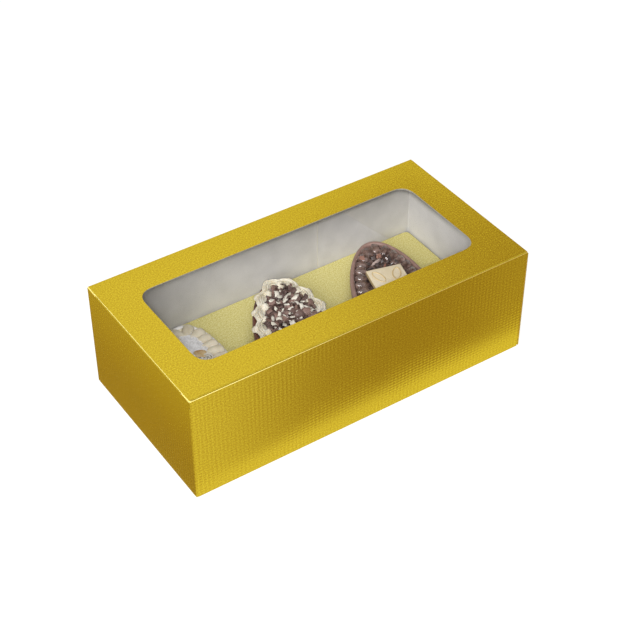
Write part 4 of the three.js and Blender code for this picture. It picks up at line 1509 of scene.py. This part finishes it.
def crumbs():
    """Three reddish crumbs and a pale stick that lie on the lumps."""
    work = bmesh.new()
    for i, (x, y, turn, length) in enumerate(CRUMBS):
        crumb = flake_mesh("red_crumb", 30 + i, length * MM, length * 0.7 * MM, 2.0 * MM, 0.2)
        lift = Matrix.Translation(Vector((x * MM, y * MM, 3.0 * MM)))
        crumb.transform(lift @ Matrix.Rotation(math.radians(turn), 4, "Z"))
        work.from_mesh(crumb)
        bpy.data.meshes.remove(crumb)
    mesh = bpy.data.meshes.new("red_crumbs")
    work.to_mesh(mesh)
    work.free()
    mesh.materials.append(RED_CRUMBS)
    tidy(mesh, 25)
    right_egg.piece("red_crumbs", mesh, "milk_chocolate")
    x, y, turn, length = STICK
    stick = flake_mesh("pale_stick", 41, length * MM, 1.4 * MM, 1.4 * MM, 0.1)
    stick.materials.append(PALE_STICK)
    lift = Matrix.Translation(Vector((x * MM, y * MM, 3.6 * MM)))
    stick.transform(lift @ Matrix.Rotation(math.radians(turn), 4, "Z"))
    right_egg.piece("pale_stick", stick, "milk_chocolate")


TILE_SIZE = 22 * MM
TILE_SPOT = Vector((-0.9, 2.1, 0)) * MM
TILE_TURN = math.radians(5)
TILE_BEVEL = 0.4 * MM
TILE_SIDE_SLOPE = 0.5
TILE_ROOM = 1.6 * MM
LEAF_LENGTH, LEAF_WIDTH, LEAF_RELIEF = 11 * MM, 4.8 * MM, 0.4 * MM
LEAF_ASIDE, LEAF_FORWARD, LEAF_LEAN = 5.6 * MM, 3.2 * MM, math.radians(21)


def leaf_outline(work, place):
    """A raised bead round a pointed oval."""
    steps, sides = 40, 8
    rings = []
    for i in range(steps):
        t = 2 * math.pi * i / steps
        wide = LEAF_WIDTH / 2 * math.sin(t) * abs(math.sin(t)) ** 0.25
        at = Vector((wide, LEAF_LENGTH / 2 * math.cos(t), 0))
        out = Vector((math.sin(t) / LEAF_WIDTH, math.cos(t) / LEAF_LENGTH, 0)).normalized()
        ring = []
        for k in range(sides):
            a = 2 * math.pi * k / sides
            ring.append(work.verts.new(place @ (at + (out * math.cos(a) + Z * math.sin(a)) * LEAF_RELIEF)))
        rings.append(ring)
    for i in range(steps):
        for k in range(sides):
            a, b = rings[i], rings[(i + 1) % steps]
            made = work.faces.new((a[k], a[(k + 1) % sides], b[(k + 1) % sides], b[k]))
            # the bead takes the darker copy: painted shade lines round the leaf
            made.material_index = 1


def tile():
    """An ivory tile with rounded edges and a pair of raised leaves that lean apart; its sides and the
    leaves' beads take a darker, golden copy of the ivory, painted shade.
    """
    tile_low, tile_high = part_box("right_egg_tile")
    thick = tile_high.z - tile_low.z - LEAF_RELIEF
    base = tile_low.z - right_egg.centre.z
    work = bmesh.new()
    bmesh.ops.create_cube(work, size=1)
    bmesh.ops.scale(work, vec=(TILE_SIZE, TILE_SIZE, thick), verts=work.verts)
    bmesh.ops.bevel(work, geom=work.edges[:], offset=TILE_BEVEL, segments=3, affect="EDGES", profile=0.5)
    work.normal_update()
    # faces that slope more than this take the darker copy: painted shade on the sides
    for face in work.faces:
        face.material_index = int(abs(face.normal.z) < TILE_SIDE_SLOPE)
    for side in (-1, 1):
        spot = Matrix.Translation((side * LEAF_ASIDE, LEAF_FORWARD, thick / 2))
        leaf_outline(work, spot @ Matrix.Rotation(-side * LEAF_LEAN, 4, "Z"))
    mesh = bpy.data.meshes.new("ivory_tile")
    work.to_mesh(mesh)
    work.free()
    mesh.materials.append(IVORY_TILE)
    mesh.materials.append(TILE_PAINTED_SHADE)
    lift = Matrix.Translation(TILE_SPOT + Z * (base + thick / 2))
    mesh.transform(lift @ Matrix.Rotation(TILE_TURN, 4, "Z"))
    tidy(mesh, 50)
    right_egg.piece("ivory_tile", mesh, "white_chocolate", "right_egg_tile")


drops()
crumbs()
tile()


# Camera, floor and light
CAMERA_PLACE = Vector((-0.3673, -0.5539, 0.5988))
CAMERA_AZIMUTH, CAMERA_ELEVATION = math.radians(-33.913), math.radians(40.362)
CAMERA_LENS, CAMERA_SENSOR, CAMERA_CLIP = 86.57, 36, 0.01
FLOOR_TONE, FLOOR_SHADE_TONE, FLOOR_GLOW = (0.8, 0.8, 0.8), (0.2, 0.2, 0.2), 0.88
SKY_LIGHT = 0.36


def camera():
    azimuth, elevation = CAMERA_AZIMUTH, CAMERA_ELEVATION
    back = Vector((
        math.sin(azimuth) * math.cos(elevation), -math.cos(azimuth) * math.cos(elevation),
        math.sin(elevation),
    ))
    right = Vector((math.cos(azimuth), math.sin(azimuth), 0))
    up = back.cross(right)
    data = bpy.data.cameras.new("photo_camera")
    data.lens, data.sensor_width, data.clip_start = CAMERA_LENS, CAMERA_SENSOR, CAMERA_CLIP
    view = add("photo_camera", data)
    turn = Matrix((right, up, back)).transposed().to_4x4()
    view.matrix_world = Matrix.Translation(CAMERA_PLACE) @ turn
    bpy.context.scene.camera = view


def seen_directly(network):
    """1 for rays that show the background itself: from the camera, a mirror or through film."""
    rays = network.node("ShaderNodeLightPath").outputs
    kinds = [Value(network, rays[k]) for k in ("Is Camera Ray", "Is Glossy Ray", "Is Transmission Ray")]
    return kinds[0].above(kinds[1]).above(kinds[2])


def stage_plane(name, corners, height, material):
    (x0, y0), (x1, y1) = corners
    mesh = bpy.data.meshes.new(name)
    points = [(x0, y0, height), (x1, y0, height), (x1, y1, height), (x0, y1, height)]
    mesh.from_pydata(points, [], [(0, 1, 2, 3)])
    mesh.materials.append(material)
    plane = add(name, mesh)
    return plane


def studio_floor():
    finish = Finish("studio_floor")
    plain = finish.node("ShaderNodeBsdfDiffuse", None, {"Color": colour(FLOOR_TONE)})
    shaded = finish.node("ShaderNodeBsdfDiffuse", None, {"Color": colour(FLOOR_SHADE_TONE)})
    glow = finish.node("ShaderNodeEmission", None, {"Strength": FLOOR_GLOW})
    white = finish.node("ShaderNodeAddShader", None, {0: shaded.outputs[0], 1: glow.outputs[0]})
    sockets = {"Fac": seen_directly(finish), 1: plain.outputs[0], 2: white.outputs[0]}
    choice = finish.node("ShaderNodeMixShader", None, sockets)
    finish.tree.links.new(choice.outputs[0], finish.output.inputs["Surface"])
    stage_plane("studio_floor", ((-4, -4), (4, 4)), -0.05 * MM, finish.material)


CARD_DARK = (0.50, 0.40, 0.28)
CARD_LIGHT = (1.05, 1.05, 1.05)


def card(name, corners, height, light):
    """A shading card that only the foil's reflections show; light(x, y) says where it is light."""
    finish = Finish(name)
    x, y, _ = finish.parts(finish.place())
    tone = finish.mix(light(x, y), CARD_DARK, CARD_LIGHT)
    glow = finish.node("ShaderNodeEmission", None, {"Color": tone})
    finish.tree.links.new(glow.outputs[0], finish.output.inputs["Surface"])
    plane = stage_plane(name, corners, height, finish.material)
    plane.visible_camera = plane.visible_diffuse = plane.visible_shadow = False
    plane.visible_transmission = plane.visible_volume_scatter = False


def cards():
    def front(x, y):
        away = -HALF_DEPTH - y
        start = x - away * 0.74
        near = 1 - away.ramp(5 * MM, 19 * MM)
        left = 1 - start.ramp(-0.13, 0.04)
        right = start.ramp(0.06, 0.11) * 0.16
        return near.above(left * left * 0.85).above(right)

    def left(x, y):
        away = -HALF_LENGTH - x
        return away.ramp(16 * MM, 36 * MM) * 0.38 - 0.06

    def overhead(x, y):
        right = x.ramp(0.10, 0.26)
        back = y.ramp(0.305, 0.34)
        return 1.04 - right * (1 - back) * 1.04

    card("front_card", ((-0.2, -0.5), (0.4, -HALF_DEPTH - 0.1 * MM)), 0.1 * MM, front)
    card("left_card", ((-0.4, -HALF_DEPTH), (-HALF_LENGTH - 0.1 * MM, 0.3)), 0.1 * MM, left)
    card("overhead_card", ((-0.2, 0.0), (0.9, 0.6)), HEIGHT + 0.25, overhead)


def studio_world():
    world = bpy.data.worlds.new("studio_world")
    world.use_nodes = True
    network = Network(world.node_tree)
    world.node_tree.nodes.clear()
    seen = seen_directly(network)
    sky = network.node("ShaderNodeBackground", None, {"Strength": SKY_LIGHT + seen * (1 - SKY_LIGHT)})
    end = network.node("ShaderNodeOutputWorld")
    world.node_tree.links.new(sky.outputs[0], end.inputs["Surface"])
    bpy.context.scene.world = world


def softbox(name, place, aim, width, height, power, mirrored=True):
    data = bpy.data.lights.new(name, "AREA")
    data.shape, data.size, data.size_y, data.energy = "RECTANGLE", width, height, power
    lamp = add(name, data)
    lamp.location = place
    lamp.visible_glossy = mirrored
    lamp.rotation_euler = (Vector(aim) - Vector(place)).to_track_quat("-Z", "Y").to_euler()


camera()
studio_floor()
cards()
studio_world()
softbox("key_softbox", (-1.0, -0.7, 0.82), (0, 0, 0.03), 0.7, 0.7, 20)
softbox("fill_softbox", (-0.09, -0.33, 0.82), (0, 0, 0.03), 0.5, 0.4, 3.0, mirrored=False)
softbox("window_softbox", (-0.385, -0.58, 0.63), (0, 0, 0.05), 0.12, 0.12, 3.0, mirrored=False)

bpy.context.scene.view_settings.view_transform = "Standard"
